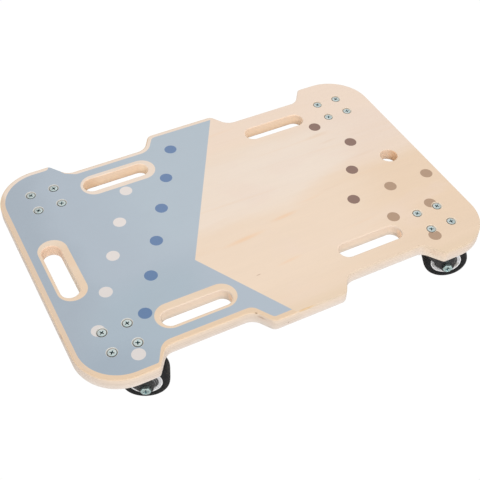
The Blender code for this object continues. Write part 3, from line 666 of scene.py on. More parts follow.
def zinc(name, rgb, roughness, seed=0.0):
    """Bright zinc plate with a faint blue-green passivation."""
    s = Shader(name, roughness, 1.0, 0.5)
    tone = s.noise((900.0, 900.0, 900.0), 2.0, 0.5, offset=(seed, 0, 0))
    hue = s.noise((260.0, 260.0, 260.0), 1.0, 0.5, offset=(0, seed, 0))
    base = linear(rgb)
    cool = [base[0] * 0.86, base[1] * 1.0, base[2] * 1.02]
    col = s.mix(s.remap(hue, 0.35, 0.65, 0.0, 1.0), base, cool)
    s.colour(s.scaled(col, s.remap(tone, 0.3, 0.7, 0.93, 1.04)))
    s.rough(s.remap(tone, 0.3, 0.7, roughness - 0.05, roughness + 0.08))
    s.bump(tone, 0.12, 0.00002)
    return s.mat


def recess_metal():
    """Bottom and walls of a driver's cross: dull plating, painted dark as the recess's shade."""
    s = Shader("recess_zinc", 0.45, 1.0, 0.5)
    tone = s.noise((1400.0, 1400.0, 1400.0), 2.0, 0.5)
    s.colour(s.mix(s.remap(tone, 0.3, 0.7, 0.0, 1.0), linear((96, 128, 132)), linear((66, 92, 98))))
    s.rough(s.remap(tone, 0.3, 0.7, 0.38, 0.55))
    return s.mat


def fork_black():
    s = Shader("fork_black", 0.42, 0.0, 0.4)
    peel = s.noise((1300.0, 1300.0, 1300.0), 2.0, 0.55)
    wear = s.noise((220.0, 220.0, 220.0), 3.0, 0.6, offset=(5, 1, 0))
    base, worn = linear((29, 28, 30)), linear((44, 42, 43))
    s.colour(s.mix(s.remap(wear, 0.52, 0.75, 0.0, 0.55), base, worn))
    s.rough(s.remap(wear, 0.3, 0.7, 0.38, 0.52))
    s.bump(peel, 0.35, 0.00004)
    return s.mat


def tyre_rubber():
    s = Shader("tyre_rubber", 0.55, 0.0, 0.18)
    fine = s.noise((1800.0, 1800.0, 1800.0), 2.0, 0.6)
    dust = s.noise((160.0, 160.0, 160.0), 4.0, 0.6, offset=(1, 4, 2))
    base, dusty = linear((23, 23, 25)), linear((42, 42, 42))
    s.colour(s.mix(s.remap(dust, 0.45, 0.75, 0.0, 0.5), base, dusty))
    s.rough(s.remap(dust, 0.3, 0.7, 0.46, 0.64))
    s.bump(fine, 0.3, 0.00004)
    return s.mat


def core_plastic(name, rgb, roughness=0.40, specular=0.4, shade_patches=None):
    """Moulded plastic; the last argument lays soft dark patches of painted shadow (centre, radii, colour, strength) in
    the wheel's own frame, metres.
    """
    s = Shader(name, roughness, 0.0, specular)
    fine = s.noise((1500.0, 1500.0, 1500.0), 2.0, 0.5)
    flow = s.noise((90.0, 90.0, 90.0), 2.0, 0.5, offset=(3, 1, 1))
    base = linear(rgb)
    low = [c * 0.93 for c in base]
    col = s.mix(s.remap(flow, 0.3, 0.7, 0.0, 1.0), base, low)
    for centre, radii, rgb_to, k in shade_patches or ():
        col = s.mix(s.times(s.spot(centre, radii, 0.0, 0.35), k), col, linear(rgb_to))
    s.colour(col)
    s.rough(s.remap(fine, 0.3, 0.7, roughness - 0.05, roughness + 0.08))
    s.bump(fine, 0.25, 0.00003)
    return s.mat


def nylon():
    s = Shader("nylon_insert", 0.35, 0.0, 0.5)
    n = s.noise((600.0, 600.0, 600.0), 2.0, 0.5)
    s.colour(s.mix(s.remap(n, 0.3, 0.7, 0.0, 1.0), linear((206, 210, 214)), linear((190, 196, 204))))
    s.rough(s.remap(n, 0.3, 0.7, 0.30, 0.42))
    return s.mat


M = {
    "veneer": veneer_top(),
    "margin": veneer_margin(),
    "back": veneer_back(),
    "edge": ply_edge(),
    "routed": slot_edge(),
    "sunk": countersink(),
    "print_field": print_colour("print_field", (176, 187, 198), 1.1, field=True),
    # the near colours of the white and blue dots are painted shade
    "print_white": print_colour("print_white", (232, 223, 218), 3.1, near=(221, 214, 210)),
    "print_blue": print_colour("print_blue", (106, 132, 171), 4.1, near=(96, 125, 164)),
    "print_brown": print_colour("print_brown", (141, 112, 100), 5.1),
    "print_tan": print_colour("print_tan", (179, 149, 124), 6.1),
    "screw": zinc("screw_zinc", (181, 186, 184), 0.27, 1.0),
    "zinc": zinc("bright_zinc", (187, 202, 200), 0.34, 2.0),
    "recess": recess_metal(),
    "plate": zinc("plate_zinc", (196, 202, 204), 0.36, 3.0),
    "fork": fork_black(),
    "tyre": tyre_rubber(),
    "core": core_plastic("core_grey", (233, 233, 234)),
    # painted shade: the rim's band is the lip's plastic painted darker
    "band": core_plastic("core_band", (203, 203, 205)),
    "ridge": core_plastic("hub_ridge", (124, 124, 126), 0.35),
    "hub": core_plastic("hub_dark", (56, 55, 56), 0.42),
    # painted shadow on the wheel at the front right: dark patches on its band and ridge, and the ridge painted darker
    # all round
    "band_painted_shadow": core_plastic("core_band_painted_shadow", (203, 203, 205), shade_patches=[((0.0155, -0.014, -0.0068), (0.0060, 0.010, 0.0068), (142, 138, 132), 0.9),
                                                                        ((-0.0165, -0.014, -0.0065), (0.0050, 0.010, 0.0060), (162, 161, 160), 0.8)]),
    "ridge_painted_shadow": core_plastic("hub_ridge_painted_shadow", (104, 102, 99), 0.35, shade_patches=[((0.0130, -0.014, -0.0080), (0.0070, 0.010, 0.0060), (62, 60, 60), 0.9)]),
    "nylon": nylon(),
}


# ------------------------------------------------------------------ outlines (mm)
def fillet_loop(points, seg_len, min_seg, max_seg, run=3.0):
    """Counter-clockwise corners (x, y, radius) to (x, y, nx, ny) samples, arcs tangent, straights divided."""
    arcs = []
    n = len(points)
    for i in range(n):
        x0, y0, _ = points[i - 1]
        x1, y1, r = points[i]
        x2, y2, _ = points[(i + 1) % n]
        d1x, d1y = x1 - x0, y1 - y0
        l1 = math.hypot(d1x, d1y)
        d1x, d1y = d1x / l1, d1y / l1
        d2x, d2y = x2 - x1, y2 - y1
        l2 = math.hypot(d2x, d2y)
        d2x, d2y = d2x / l2, d2y / l2
        ang = math.atan2(d1x * d2y - d1y * d2x, d1x * d2x + d1y * d2y)
        if r < 1e-6:
            arcs.append([(x1, y1, d1y, -d1x)])
            continue
        sg = 1.0 if ang > 0 else -1.0
        t = r * math.tan(abs(ang) / 2)
        sx, sy = x1 - d1x * t, y1 - d1y * t
        cx, cy = sx - d1y * sg * r, sy + d1x * sg * r
        k = max(min_seg, min(max_seg, int(round(abs(ang) * r / seg_len))))
        a0 = math.atan2(sy - cy, sx - cx)
        arc = []
        for j in range(k + 1):
            a = a0 + ang * j / k
            arc.append((cx + r * math.cos(a), cy + r * math.sin(a), sg * math.cos(a), sg * math.sin(a)))
        arcs.append(arc)
    out = []
    for i in range(n):
        out += arcs[i]
        ax, ay, nx, ny = arcs[i][-1]
        bx, by = arcs[(i + 1) % n][0][:2]
        length = math.hypot(bx - ax, by - ay)
        k = int(length / run)
        nx, ny = (by - ay) / max(length, 1e-9), -(bx - ax) / max(length, 1e-9)
        for j in range(1, k):
            out.append((ax + (bx - ax) * j / k, ay + (by - ay) * j / k, nx, ny))
    return out


def four_fold(q):
    pts = [(x, y, r) for x, y, r in q]
    pts += [(-x, y, r) for x, y, r in reversed(q)]
    pts += [(-x, -y, r) for x, y, r in q]
    pts += [(x, -y, r) for x, y, r in reversed(q)]
    return pts


def deck_outline():
    a, b, d = HALF_L, HALF_W, RECESS_D
    return fillet_loop(four_fold([
        (a, b, CORNER_R),
        (LOBE_X, b, LOBE_R),
        (LOBE_X - LOBE_DX, b - d, LOBE_RIN),
        (TAB_X + TAB_DX, b - d, TAB_RIN),
        (TAB_X, b, TAB_R),
    ]), 1.6, 6, 64)


def print_outline():
    """Edge of the printed field: the deck's outline inset by the bare margin, and the chevron."""
    return fillet_loop([
        (46.8, 183.4, 0.0),
        (-46.8, 183.4, 8.0),
        (-62.7, 158.4, 22.0),
        (-170.5, 158.4, 10.0),
        (-184.6, 166.9, 0.0),
        (-183.0, 171.0, 0.0),
        (-198.4, 191.5, 0.0),
        (-201.8, 185.2, 0.0),
        (-205.0, 183.4, 0.0),
        (-276.6, 183.2, 53.0),
        (-276.6, -182.9, 53.0),
        (-197.2, -182.9, 3.5),
        (-182.3, -157.1, 19.0),
        (-64.0, -157.1, 13.0),
        (-47.4, -183.0, 6.0),
        (CHEVRON[2][0], CHEVRON[2][1], 0.0),
        (CHEVRON[1][0], CHEVRON[1][1], 0.0),
    ], 1.6, 6, 64, run=6.0)


def stadium(cx, cy, length, width, along_x=True, seg=28, run=4.0):
    """Round-ended slot, counter-clockwise, normals pointing out of the hole."""
    r = width / 2
    s = (length - width) / 2
    out = []
    for side in (0, 1):
        for j in range(seg + 1):
            a = -math.pi / 2 + math.pi * j / seg + side * math.pi
            ox = s if side == 0 else -s
            out.append((ox + r * math.cos(a), r * math.sin(a), math.cos(a), math.sin(a)))
        x0, y0, nx, ny = out[-1]
        x1 = -x0
        k = int(abs(x1 - x0) / run)
        for j in range(1, k):
            out.append((x0 + (x1 - x0) * j / k, y0, nx, ny))
    if not along_x:
        out = [(-y, x, -ny, nx) for x, y, nx, ny in out]
    return [(cx + x, cy + y, nx, ny) for x, y, nx, ny in out]


def circle(cx, cy, r, seg, phase=0.0):
    return [(cx + r * math.cos(2 * math.pi * j / seg + phase), cy + r * math.sin(2 * math.pi * j / seg + phase),
             math.cos(2 * math.pi * j / seg + phase), math.sin(2 * math.pi * j / seg + phase)) for j in range(seg)]


def inside(loop, x, y):
    hit = False
    n = len(loop)
    for i in range(n):
        x1, y1 = loop[i][0], loop[i][1]
        x2, y2 = loop[(i + 1) % n][0], loop[(i + 1) % n][1]
        if (y1 > y) != (y2 > y) and x < (x2 - x1) * (y - y1) / (y2 - y1) + x1:
            hit = not hit
    return hit


# ------------------------------------------------------------------ mesh helpers
class Builder:
    """Vertices with their own normals, faces with a material index."""

    def __init__(self):
        self.co, self.no, self.faces, self.mats, self.slots = [], [], [], [], []

    def slot(self, mat):
        if mat not in self.slots:
            self.slots.append(mat)
        return self.slots.index(mat)

    def vert(self, p, n):
        self.co.append((p[0] * MM, p[1] * MM, p[2] * MM))
        self.no.append(n)
        return len(self.co) - 1

    def face(self, ids, mat):
        self.faces.append(tuple(ids))
        self.mats.append(self.slot(mat))

    def bridge(self, a, b, mat, flip=False):
        n = len(a)
        for i in range(n):
            j = (i + 1) % n
            m = mat(i) if callable(mat) else mat
            f = (a[i], b[i], b[j], a[j])
            self.face(f[::-1] if flip else f, m)

    def mesh(self, name, own_normals=True):
        me = bpy.data.meshes.new(name)
        me.from_pydata(self.co, [], self.faces)
        for m in self.slots:
            me.materials.append(m)
        me.polygons.foreach_set("material_index", self.mats)
        me.shade_smooth()
        if own_normals:
            me.normals_split_custom_set_from_vertices(self.no)
        me.update()
        return me


def add(name, mesh, body, nodes=(), matrix=None, parent=None):
    ob = bpy.data.objects.new(name, mesh)
    bpy.context.scene.collection.objects.link(ob)
    if matrix is not None:
        ob.matrix_world = matrix
    if body:
        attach(ob, body)
    if nodes:
        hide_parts(*nodes)
    return ob


def from_bm(bm, name, mats, angle=35.0):
    bmesh.ops.recalc_face_normals(bm, faces=bm.faces)
    me = bpy.data.meshes.new(name)
    bm.to_mesh(me)
    bm.free()
    for m in mats:
        me.materials.append(m)
    me.shade_smooth()
    me.set_sharp_from_angle(angle=math.radians(angle))
    return me


def turned(profile, seg, axis="Z", closed=True, mats=None):
    """Turns (radius, height[, material index]) in mm; the index is the face's that starts there."""
    bm = bmesh.new()
    rings = []
    for p in profile:
        r, h = p[0], p[1]
        if r < 1e-6:
            rings.append([bm.verts.new((0, 0, h * MM))])
        else:
            rings.append([bm.verts.new((r * MM * math.cos(2 * math.pi * i / seg), r * MM * math.sin(2 * math.pi * i / seg),
                                        h * MM)) for i in range(seg)])
    pairs = list(zip(rings[:-1], rings[1:], profile[:-1]))
    if closed:
        pairs.append((rings[-1], rings[0], profile[-1]))
    for a, b, p in pairs:
        for i in range(seg):
            j = (i + 1) % seg
            if len(a) == 1 and len(b) == 1:
                continue
            if len(a) == 1:
                f = bm.faces.new((a[0], b[i], b[j]))
            elif len(b) == 1:
                f = bm.faces.new((a[i], b[0], a[j]))
            else:
                f = bm.faces.new((a[i], b[i], b[j], a[j]))
            f.material_index = p[2] if len(p) > 2 else 0
    if axis == "Y":
        bmesh.ops.rotate(bm, verts=bm.verts, cent=(0, 0, 0), matrix=Matrix.Rotation(math.radians(-90), 3, "X"))
    return bm


def cdt(loops):
    """Constrained triangulation: positions, triangles and, for each point, its input index or None."""
    co, edges = [], []
    for loop in loops:
        base = len(co)
        n = len(loop)
        co += [(p[0], p[1]) for p in loop]
        edges += [(base + i, base + (i + 1) % n) for i in range(n)]
    v, _, faces, orig, _, _ = delaunay_2d_cdt([Vector(c) for c in co], edges, [], 0, 1e-5)
    return v, [f for f in faces if len(f) == 3], [o for o in orig]


# ------------------------------------------------------------------ the deck
def make_deck():
    b = Builder()
    outer = deck_outline()
    slots = [stadium(sx * SLOT_X, sy * SLOT_Y, SLOT_L, SLOT_W) for sx in (-1, 1) for sy in (-1, 1)]
    slots.append(stadium(END_SLOT[0], END_SLOT[1], SLOT_L, SLOT_W, along_x=False))
    rope = circle(ROPE[0], ROPE[1], ROPE[2], 72)
    holes = [(cx + sx * PITCH, cy + sy * PITCH) for cx, cy in CASTORS.values() for sx in (-1, 1) for sy in (-1, 1)]

    field = print_outline()
    # bare rings round the slots on the printed half, as they lie on the real print
    rings = [
        stadium(-120.9, 127.5, 106.8, 39.0),
        stadium(-123.2, -125.9, 106.5, 39.1),
        stadium(-247.1, 0.0, 109.0, 38.2, along_x=False),
    ]
    dots = [(name, circle(x, y, DOT_R, 44)) for name, group in DOTS.items() for x, y in group]

    def is_flank(x, y):
        """The far rear lobe's slanted side, where the print runs out over the edge."""
        return -199.6 < x < -184.6 and y > 168.0

    steps = 5
    top_loops, bottom_loops = [], []

    def wall(loop, sign, top_mat, wall_mat, low_mat, edge=EDGE):
        """sign 1 for the outside (normals point out of the board), -1 for a hole."""
        rows = []
        for k in range(steps + 1):
            a = math.pi / 2 * k / steps
            inset, drop = edge * (1 - math.sin(a)), edge * (1 - math.cos(a))
            rows.append([b.vert((x - nx * inset * sign, y - ny * inset * sign, TOP - drop),
                                (nx * sign * math.sin(a), ny * sign * math.sin(a), math.cos(a))) for x, y, nx, ny in loop])
        for k in range(steps + 1):
            a = math.pi / 2 * (1 - k / steps)
            inset, drop = edge * (1 - math.sin(a)), edge * (1 - math.cos(a))
            rows.append([b.vert((x - nx * inset * sign, y - ny * inset * sign, BOTTOM + drop),
                                (nx * sign * math.sin(a), ny * sign * math.sin(a), -math.cos(a))) for x, y, nx, ny in loop])
        for k, (r0, r1) in enumerate(zip(rows[:-1], rows[1:])):
            if k < steps:
                mat = (lambda i, k=k: top_mat(i, k)) if callable(top_mat) else top_mat
            elif k == steps:
                mat = wall_mat
            else:
                mat = low_mat
            b.bridge(r0, r1, mat, flip=sign < 0)
        cap = [(x - nx * edge * sign, y - ny * edge * sign) for x, y, nx, ny in loop]
        top_loops.append((cap, rows[0]))
        bottom_loops.append((cap, rows[-1]))

    def outer_top(i, k):
        x, y = outer[i][0], outer[i][1]
        if k < 3 and is_flank(x, y):
            return M["print_field"]
        return M["edge"] if k == steps - 1 or on_print_side(x, y) else M["veneer"]

    def routed_top(loop):
        face = M["margin"] if on_print_side(loop[0][0], loop[0][1]) else M["veneer"]
        return lambda i, k: M["routed"] if k >= 2 else face

    wall(outer, 1.0, outer_top, M["edge"], M["edge"])
    for s in slots:
        wall(s, -1.0, routed_top(s), M["routed"], M["routed"])
    wall(rope, -1.0, routed_top(rope), M["routed"], M["routed"], edge=1.6)

    # countersunk screw holes
    for hx, hy in holes:
        prof = [(CSK_R, TOP, (0, 1)), (CSK_R - 0.18, TOP - 0.10, (0.707, 0.707)), (HOLE_R, TOP - (CSK_R - HOLE_R), (0.707, 0.707)),
                (HOLE_R, TOP - (CSK_R - HOLE_R) - 0.3, (1, 0)), (HOLE_R, BOTTOM, (1, 0))]
        rows = []
        for r, z, (h, v) in prof:
            rows.append([b.vert((x, y, z), (-nx * h, -ny * h, v)) for x, y, nx, ny in circle(hx, hy, r, 48)])
        for r0, r1 in zip(rows[:-1], rows[1:]):
            b.bridge(r0, r1, M["sunk"], flip=True)
        loop = [(x, y) for x, y, _, _ in circle(hx, hy, CSK_R, 48)]
        top_loops.append((loop, rows[0]))
        loop = [(x, y) for x, y, _, _ in circle(hx, hy, HOLE_R, 48)]
        bottom_loops.append((loop, rows[-1]))

    # top face, cut along every printed edge
    cut = [t[0] for t in top_loops] + [field] + rings + [d[1] for d in dots]
    ids = [i for _, row in top_loops for i in row]
    v, tris, orig = cdt(cut)
    bounds = len(ids)

    def snapped(i):
        """The board vertex for a triangulation point: a rim vertex, or a new one on the face."""
        own = [o for o in orig[i] if o < bounds]
        if own:
            return ids[own[0]]
        x, y = v[i]
        for n, (loop, row) in enumerate(top_loops):
            lo, hi = boxes[n]
            if not (lo[0] - 0.01 <= x <= hi[0] + 0.01 and lo[1] - 0.01 <= y <= hi[1] + 0.01):
                continue
            m = len(loop)
            for j in range(m):
                ax, ay = loop[j]
                bx, by = loop[(j + 1) % m]
                dx, dy = bx - ax, by - ay
                ll = dx * dx + dy * dy
                if ll < 1e-12:
                    continue
                t = ((x - ax) * dx + (y - ay) * dy) / ll
                if -1e-4 <= t <= 1 + 1e-4 and abs((x - ax) * dy - (y - ay) * dx) / math.sqrt(ll) < 2e-3:
                    return row[j] if t < 0.5 else row[(j + 1) % m]
        return b.vert((v[i][0], v[i][1], TOP), (0, 0, 1))

    boxes = [((min(p[0] for p in loop), min(p[1] for p in loop)), (max(p[0] for p in loop), max(p[1] for p in loop)))
             for loop, _ in top_loops]
    outer_cap = top_loops[0][0]
    hole_caps = [t[0] for t in top_loops[1:]]
    made = {}
    for tri in tris:
        x = sum(v[i][0] for i in tri) / 3
        y = sum(v[i][1] for i in tri) / 3
        if not inside(outer_cap, x, y) or any(inside(h, x, y) for h in hole_caps):
            continue
        mat = None
        for name, loop in dots:
            if inside(loop, x, y):
                mat = M[name]
                break
        if mat is None:
            if inside(field, x, y):
                mat = M["margin"] if any(inside(r, x, y) for r in rings) else M["print_field"]
            elif on_print_side(x, y):
                mat = M["margin"]
            else:
                mat = M["veneer"]
        t = []
        for i in tri:
            if i not in made:
                made[i] = snapped(i)
            t.append(made[i])
        if len(set(t)) < 3:
            continue
        (ax, ay), (bx, by), (cx, cy) = (v[i] for i in tri)
        if (bx - ax) * (cy - ay) - (by - ay) * (cx - ax) < 0:
            t.reverse()
        b.face(t, mat)

    # underside
    ids = [i for _, row in bottom_loops for i in row]
    v, tris, orig = cdt([t[0] for t in bottom_loops])
    outer_cap = bottom_loops[0][0]
    hole_caps = [t[0] for t in bottom_loops[1:]]
    for tri in tris:
        x = sum(v[i][0] for i in tri) / 3
        y = sum(v[i][1] for i in tri) / 3
        if not inside(outer_cap, x, y) or any(inside(h, x, y) for h in hole_caps):
            continue
        t = [ids[orig[i][0]] for i in tri]
        (ax, ay), (bx, by), (cx, cy) = (v[i] for i in tri)
        if (bx - ax) * (cy - ay) - (by - ay) * (cx - ax) > 0:
            t.reverse()
        b.face(t, M["back"])
    return b.mesh("deck_board")


def on_print_side(x, y):
    """Left of the chevron."""
    (x0, y0), (x1, y1), (x2, y2) = CHEVRON
    if y >= y1:
        edge = x1 + (x0 - x1) * (y - y1) / (y0 - y1)
    else:
        edge = x1 + (x2 - x1) * (y - y1) / (y2 - y1)
    return x < edge


deck = add("deck_board", make_deck(), "board", ["deck"])


# ------------------------------------------------------------------ fasteners
def cross_loop(half, arm, fillet, per=3):
    """A cross outline, counter-clockwise, with rounded inner corners."""
    pts = []
    for q in range(4):
        a = q * math.pi / 2
        c, s = math.cos(a), math.sin(a)
        local = [(half, -arm), (half, arm)]
        k = per
        for j in range(k + 1):
            t = -math.pi / 2 - (math.pi / 2) * j / k
            local.append((arm + fillet + fillet * math.cos(t + 0.0), arm + fillet + fillet * math.sin(t)))
        local = [local[0], local[1]] + local[2:]
        pts += [(x * c - y * s, x * s + y * c) for x, y in local]
    return pts


def make_screw():
    """Countersunk machine screw, head face at z = 0, cross recess, finely threaded shank."""
    seg = 48
    bm = bmesh.new()
    head_r, shank, length = 5.45, 2.5, 25.0
    prof = [(head_r - 0.5, 0.0), (head_r - 0.25, -0.05), (head_r - 0.07, -0.15), (head_r, -0.28), (head_r, -0.46),
            (shank + 0.1, -0.46 - (head_r - shank)), (shank, -3.6)]
    z = -9.0
    prof += [(shank, z)]
    while z > -length + 1.2:
        prof += [(shank - 0.28, z - 0.25), (shank, z - 0.5)]
        z -= 0.8
        prof += [(shank, z)]
    prof += [(shank - 0.7, -length)]
    rings = [[bm.verts.new((r * MM * math.cos(2 * math.pi * i / seg), r * MM * math.sin(2 * math.pi * i / seg), z * MM))
              for i in range(seg)] for r, z in prof]
    for a, c in zip(rings[:-1], rings[1:]):
        for i in range(seg):
            j = (i + 1) % seg
            bm.faces.new((a[i], c[i], c[j], a[j]))
    bm.faces.new(list(reversed(rings[-1])))
    levels = [(cross_loop(3.1, 0.74, 0.60), 0.0), (cross_loop(2.95, 0.66, 0.56), -0.12), (cross_loop(1.75, 0.42, 0.30), -2.2),
              (cross_loop(0.6, 0.16, 0.10), -2.8)]
    recess(bm, rings[0], levels)
    return from_bm(bm, "deck_screw", [M["screw"], M["recess"]], 28)


def recess(bm, rim, levels):
    """Sinks a driver's cross into the flat face inside rim; its walls take the second material."""
    loops = [[bm.verts.new((x * MM, y * MM, z * MM)) for x, y in loop] for loop, z in levels]
    for k, (a, c) in enumerate(zip(loops[:-1], loops[1:])):
        for i in range(len(a)):
            j = (i + 1) % len(a)
            f = bm.faces.new((a[i], c[i], c[j], a[j]))
            f.material_index = 1 if k else 0
    bm.faces.new(loops[-1]).material_index = 1
    outer = [(v.co.x / MM, v.co.y / MM) for v in rim]
    every = rim + loops[0]
    v, tris, orig = cdt([outer, levels[0][0]])
    for t in tris:
        x = sum(v[i][0] for i in t) / 3
        y = sum(v[i][1] for i in t) / 3
        if not inside(outer, x, y) or inside(levels[0][0], x, y):
            continue
        bm.faces.new([every[orig[i][0]] for i in t])


def hex_rings(af, z_face, z_base, seg=72, chamfer=0.94, worn=1.0):
    """Rings of a hexagon whose corners are turned off towards its free face; worn trims the corners themselves."""
    rf = af / 2 * chamfer
    ring_face, ring_edge, ring_base = [], [], []
    sgn = 1.0 if z_face > z_base else -1.0
    for i in range(seg):
        a = 2 * math.pi * i / seg
        m = (a % (math.pi / 3)) - math.pi / 6
        r = min(af / 2 / math.cos(m), worn * af / 2 / math.cos(math.pi / 6))
        ring_face.append((rf * math.cos(a), rf * math.sin(a), z_face))
        ring_edge.append((r * math.cos(a), r * math.sin(a), z_face - sgn * (r - rf) * math.tan(math.radians(30))))
        ring_base.append((r * math.cos(a), r * math.sin(a), z_base))
    return ring_face, ring_edge, ring_base


def make_lock_nut():
    """Nylon-insert nut, z from 0 (free face) to 4.7 (against the plate)."""
    seg = 72
    bm = bmesh.new()

    def ring(pts):
        return [bm.verts.new((x * MM, y * MM, z * MM)) for x, y, z in pts]

    def rnd(r, z):
        return ring([(r * math.cos(2 * math.pi * i / seg), r * math.sin(2 * math.pi * i / seg), z) for i in range(seg)])

    face, edge, base = hex_rings(8.0, 4.7, 1.5, seg, 0.95)
    # the flats' lower end carries a rolled collar
    low = [(x, y, 1.5) for x, y, _ in base]
    rows = [rnd(2.8, 4.55), rnd(3.0, 4.7), ring(face), ring(edge), ring(low), rnd(3.75, 1.35), rnd(3.75, 0.75), rnd(3.55, 0.3),
            rnd(3.2, 0.05), rnd(3.1, 0.0), rnd(2.95, 0.12), rnd(2.8, 0.3)]
    mats = [0, 0, 0, 0, 0, 0, 0, 0, 0, 1, 1, 1]
    for k in range(len(rows)):
        a, c = rows[k], rows[(k + 1) % len(rows)]
        for i in range(seg):
            j = (i + 1) % seg
            f = bm.faces.new((a[i], c[i], c[j], a[j]))
            f.material_index = mats[k]
    return from_bm(bm, "lock_nut", [M["zinc"], M["nylon"]], 30)


def make_axle_nut():
    """Nylon-insert nut on the axle's far end, along +Y from 0."""
    seg = 72
    bm = bmesh.new()

    def ring(pts):
        return [bm.verts.new((x * MM, y * MM, z * MM)) for x, y, z in pts]

    def rnd(r, z):
        return ring([(r * math.cos(2 * math.pi * i / seg), r * math.sin(2 * math.pi * i / seg), z) for i in range(seg)])

    face, edge, base = hex_rings(13.0, 0.0, 4.8, seg, 0.95)
    rows = [rnd(4.3, 0.25), rnd(4.6, 0.0), ring(face), ring(edge), ring(base), rnd(6.1, 4.95), rnd(6.1, 5.6), rnd(5.8, 6.2),
            rnd(5.2, 6.45), rnd(5.0, 6.5), rnd(4.7, 6.35), rnd(4.3, 6.1)]
    mats = [0] * 9 + [1, 1, 0]
    for k in range(len(rows)):
        a, c = rows[k], rows[(k + 1) % len(rows)]
        for i in range(seg):
            j = (i + 1) % seg
            f = bm.faces.new((a[i], c[i], c[j], a[j]))
            f.material_index = mats[k]
    bmesh.ops.rotate(bm, verts=bm.verts, cent=(0, 0, 0), matrix=Matrix.Rotation(math.radians(-90), 3, "X"))
    return from_bm(bm, "axle_nut", [M["zinc"], M["nylon"]], 30)


def make_axle_bolt():
    """Hexagon head with a cross recess on the -Y side, plain shank, threaded tail."""
    seg = 72
    bm = bmesh.new()
    af, face_z, under_z = 12.0, 27.9, 23.3
    face, edge, base = hex_rings(af, face_z - 0.12, under_z, seg, 0.90, worn=0.968)

    def ring(pts):
        return [bm.verts.new((x * MM, y * MM, z * MM)) for x, y, z in pts]

    def rnd(r, z):
        return ring([(r * math.cos(2 * math.pi * i / seg), r * math.sin(2 * math.pi * i / seg), z) for i in range(seg)])

    # the face is very slightly crowned inside its chamfer
    rows = [rnd(3.9, face_z), rnd(4.8, face_z - 0.04), ring(face), ring(edge), ring(base), rnd(4.2, under_z), rnd(4.0, under_z - 0.3)]
    z = -21.0
    rows.append(rnd(4.0, z))
    while z > -31.0:
        rows += [rnd(3.62, z - 0.3), rnd(3.97, z - 0.62)]
        z -= 1.0
        rows.append(rnd(3.97, z))
    rows += [rnd(3.2, -32.0)]
    for a, c in zip(rows[:-1], rows[1:]):
        for i in range(seg):
            j = (i + 1) % seg
            bm.faces.new((a[i], c[i], c[j], a[j]))
    bm.faces.new(list(reversed(rows[-1])))
    levels = [(cross_loop(3.75, 0.98, 0.7), face_z), (cross_loop(3.6, 0.86, 0.6), face_z - 0.16), (cross_loop(2.3, 0.55, 0.36), face_z - 2.2),
              (cross_loop(0.8, 0.24, 0.12), face_z - 2.9)]
    recess(bm, rows[0], levels)
    bmesh.ops.rotate(bm, verts=bm.verts, cent=(0, 0, 0), matrix=Matrix.Rotation(math.radians(90), 3, "X"))
    return from_bm(bm, "axle_bolt", [M["zinc"], M["recess"]], 26)


# ------------------------------------------------------------------ castor pieces
def make_plate():
    """Top plate with rolled edges, raceway and swaged neck."""
    h = 23.0
    top, low = 84.7, 82.7
    bm = bmesh.new()
    outline = fillet_loop([(h, h, 5.0), (-h, h, 5.0), (-h, -h, 5.0), (h, -h, 5.0)], 0.7, 8, 16, run=4.0)

    def at(loop, z, inset=0.0):
        return [bm.verts.new(((p[0] - p[2] * inset) * MM, (p[1] - p[3] * inset) * MM, z * MM)) for p in loop]

    def wall(a, c):
        for i in range(len(a)):
            j = (i + 1) % len(a)
            bm.faces.new((a[i], c[i], c[j], a[j]))

    rows = [at(outline, top, 0.35), at(outline, top - 0.12, 0.1), at(outline, top - 0.4), at(outline, low + 0.6),
            at(outline, low + 0.2, 0.15), at(outline, low, 0.55)]
    for a, c in zip(rows[:-1], rows[1:]):
        wall(a, c)
    holes = [(sx * PITCH, sy * PITCH) for sx in (-1, 1) for sy in (-1, 1)]
    hole_top, hole_low = [], []
    for x, y in holes:
        a = at(circle(x, y, HOLE_R, 32), top)
        c = at(circle(x, y, HOLE_R, 32), low + 0.15)
        d = at(circle(x, y, HOLE_R + 0.15, 32), low)
        wall(a, c)
        wall(c, d)
        hole_top.append(a)
        hole_low.append(d)

    def cap(loops, verts):
        v, tris, orig = cdt(loops)
        every = [q for row in verts for q in row]
        for t in tris:
            x = sum(v[i][0] for i in t) / 3
            y = sum(v[i][1] for i in t) / 3
            if not inside(loops[0], x, y) or any(inside(o, x, y) for o in loops[1:]):
                continue
            bm.faces.new([every[orig[i][0]] for i in t])

    def flat(row):
        return [(q.co.x / MM, q.co.y / MM) for q in row]

    cap([flat(rows[0])] + [flat(r) for r in hole_top], [rows[0]] + hole_top)
    prof = [(17.6, low), (17.1, low - 0.12), (16.7, low - 0.6), (15.5, 80.4), (15.1, 79.4), (14.6, 77.3), (14.2, 76.7), (13.8, 76.4),
            (8.5, 76.4), (8.0, 76.2), (8.0, 71.9), (8.15, 71.7), (10.7, 71.7), (11.0, 71.5), (11.0, 70.6), (10.7, 70.2),
            (9.9, 69.5), (9.4, 69.3), (4.0, 69.3), (3.5, 69.6), (1.5, 70.2), (0.0, 70.3)]
    seg = 96
    turn = []
    for r, z in prof:
        if r < 1e-6:
            turn.append([bm.verts.new((0, 0, z * MM))])
        else:
            turn.append([bm.verts.new((r * MM * math.cos(2 * math.pi * i / seg), r * MM * math.sin(2 * math.pi * i / seg), z * MM))
                         for i in range(seg)])
    for a, c in zip(turn[:-1], turn[1:]):
        for i in range(seg):
            j = (i + 1) % seg
            if len(c) == 1:
                bm.faces.new((a[i], c[0], a[j]))
            else:
                bm.faces.new((a[i], c[i], c[j], a[j]))
    cap([flat(rows[-1]), flat(turn[0])] + [flat(r) for r in hole_low], [rows[-1], turn[0]] + hole_low)
    return from_bm(bm, "castor_plate", [M["plate"]], 32)


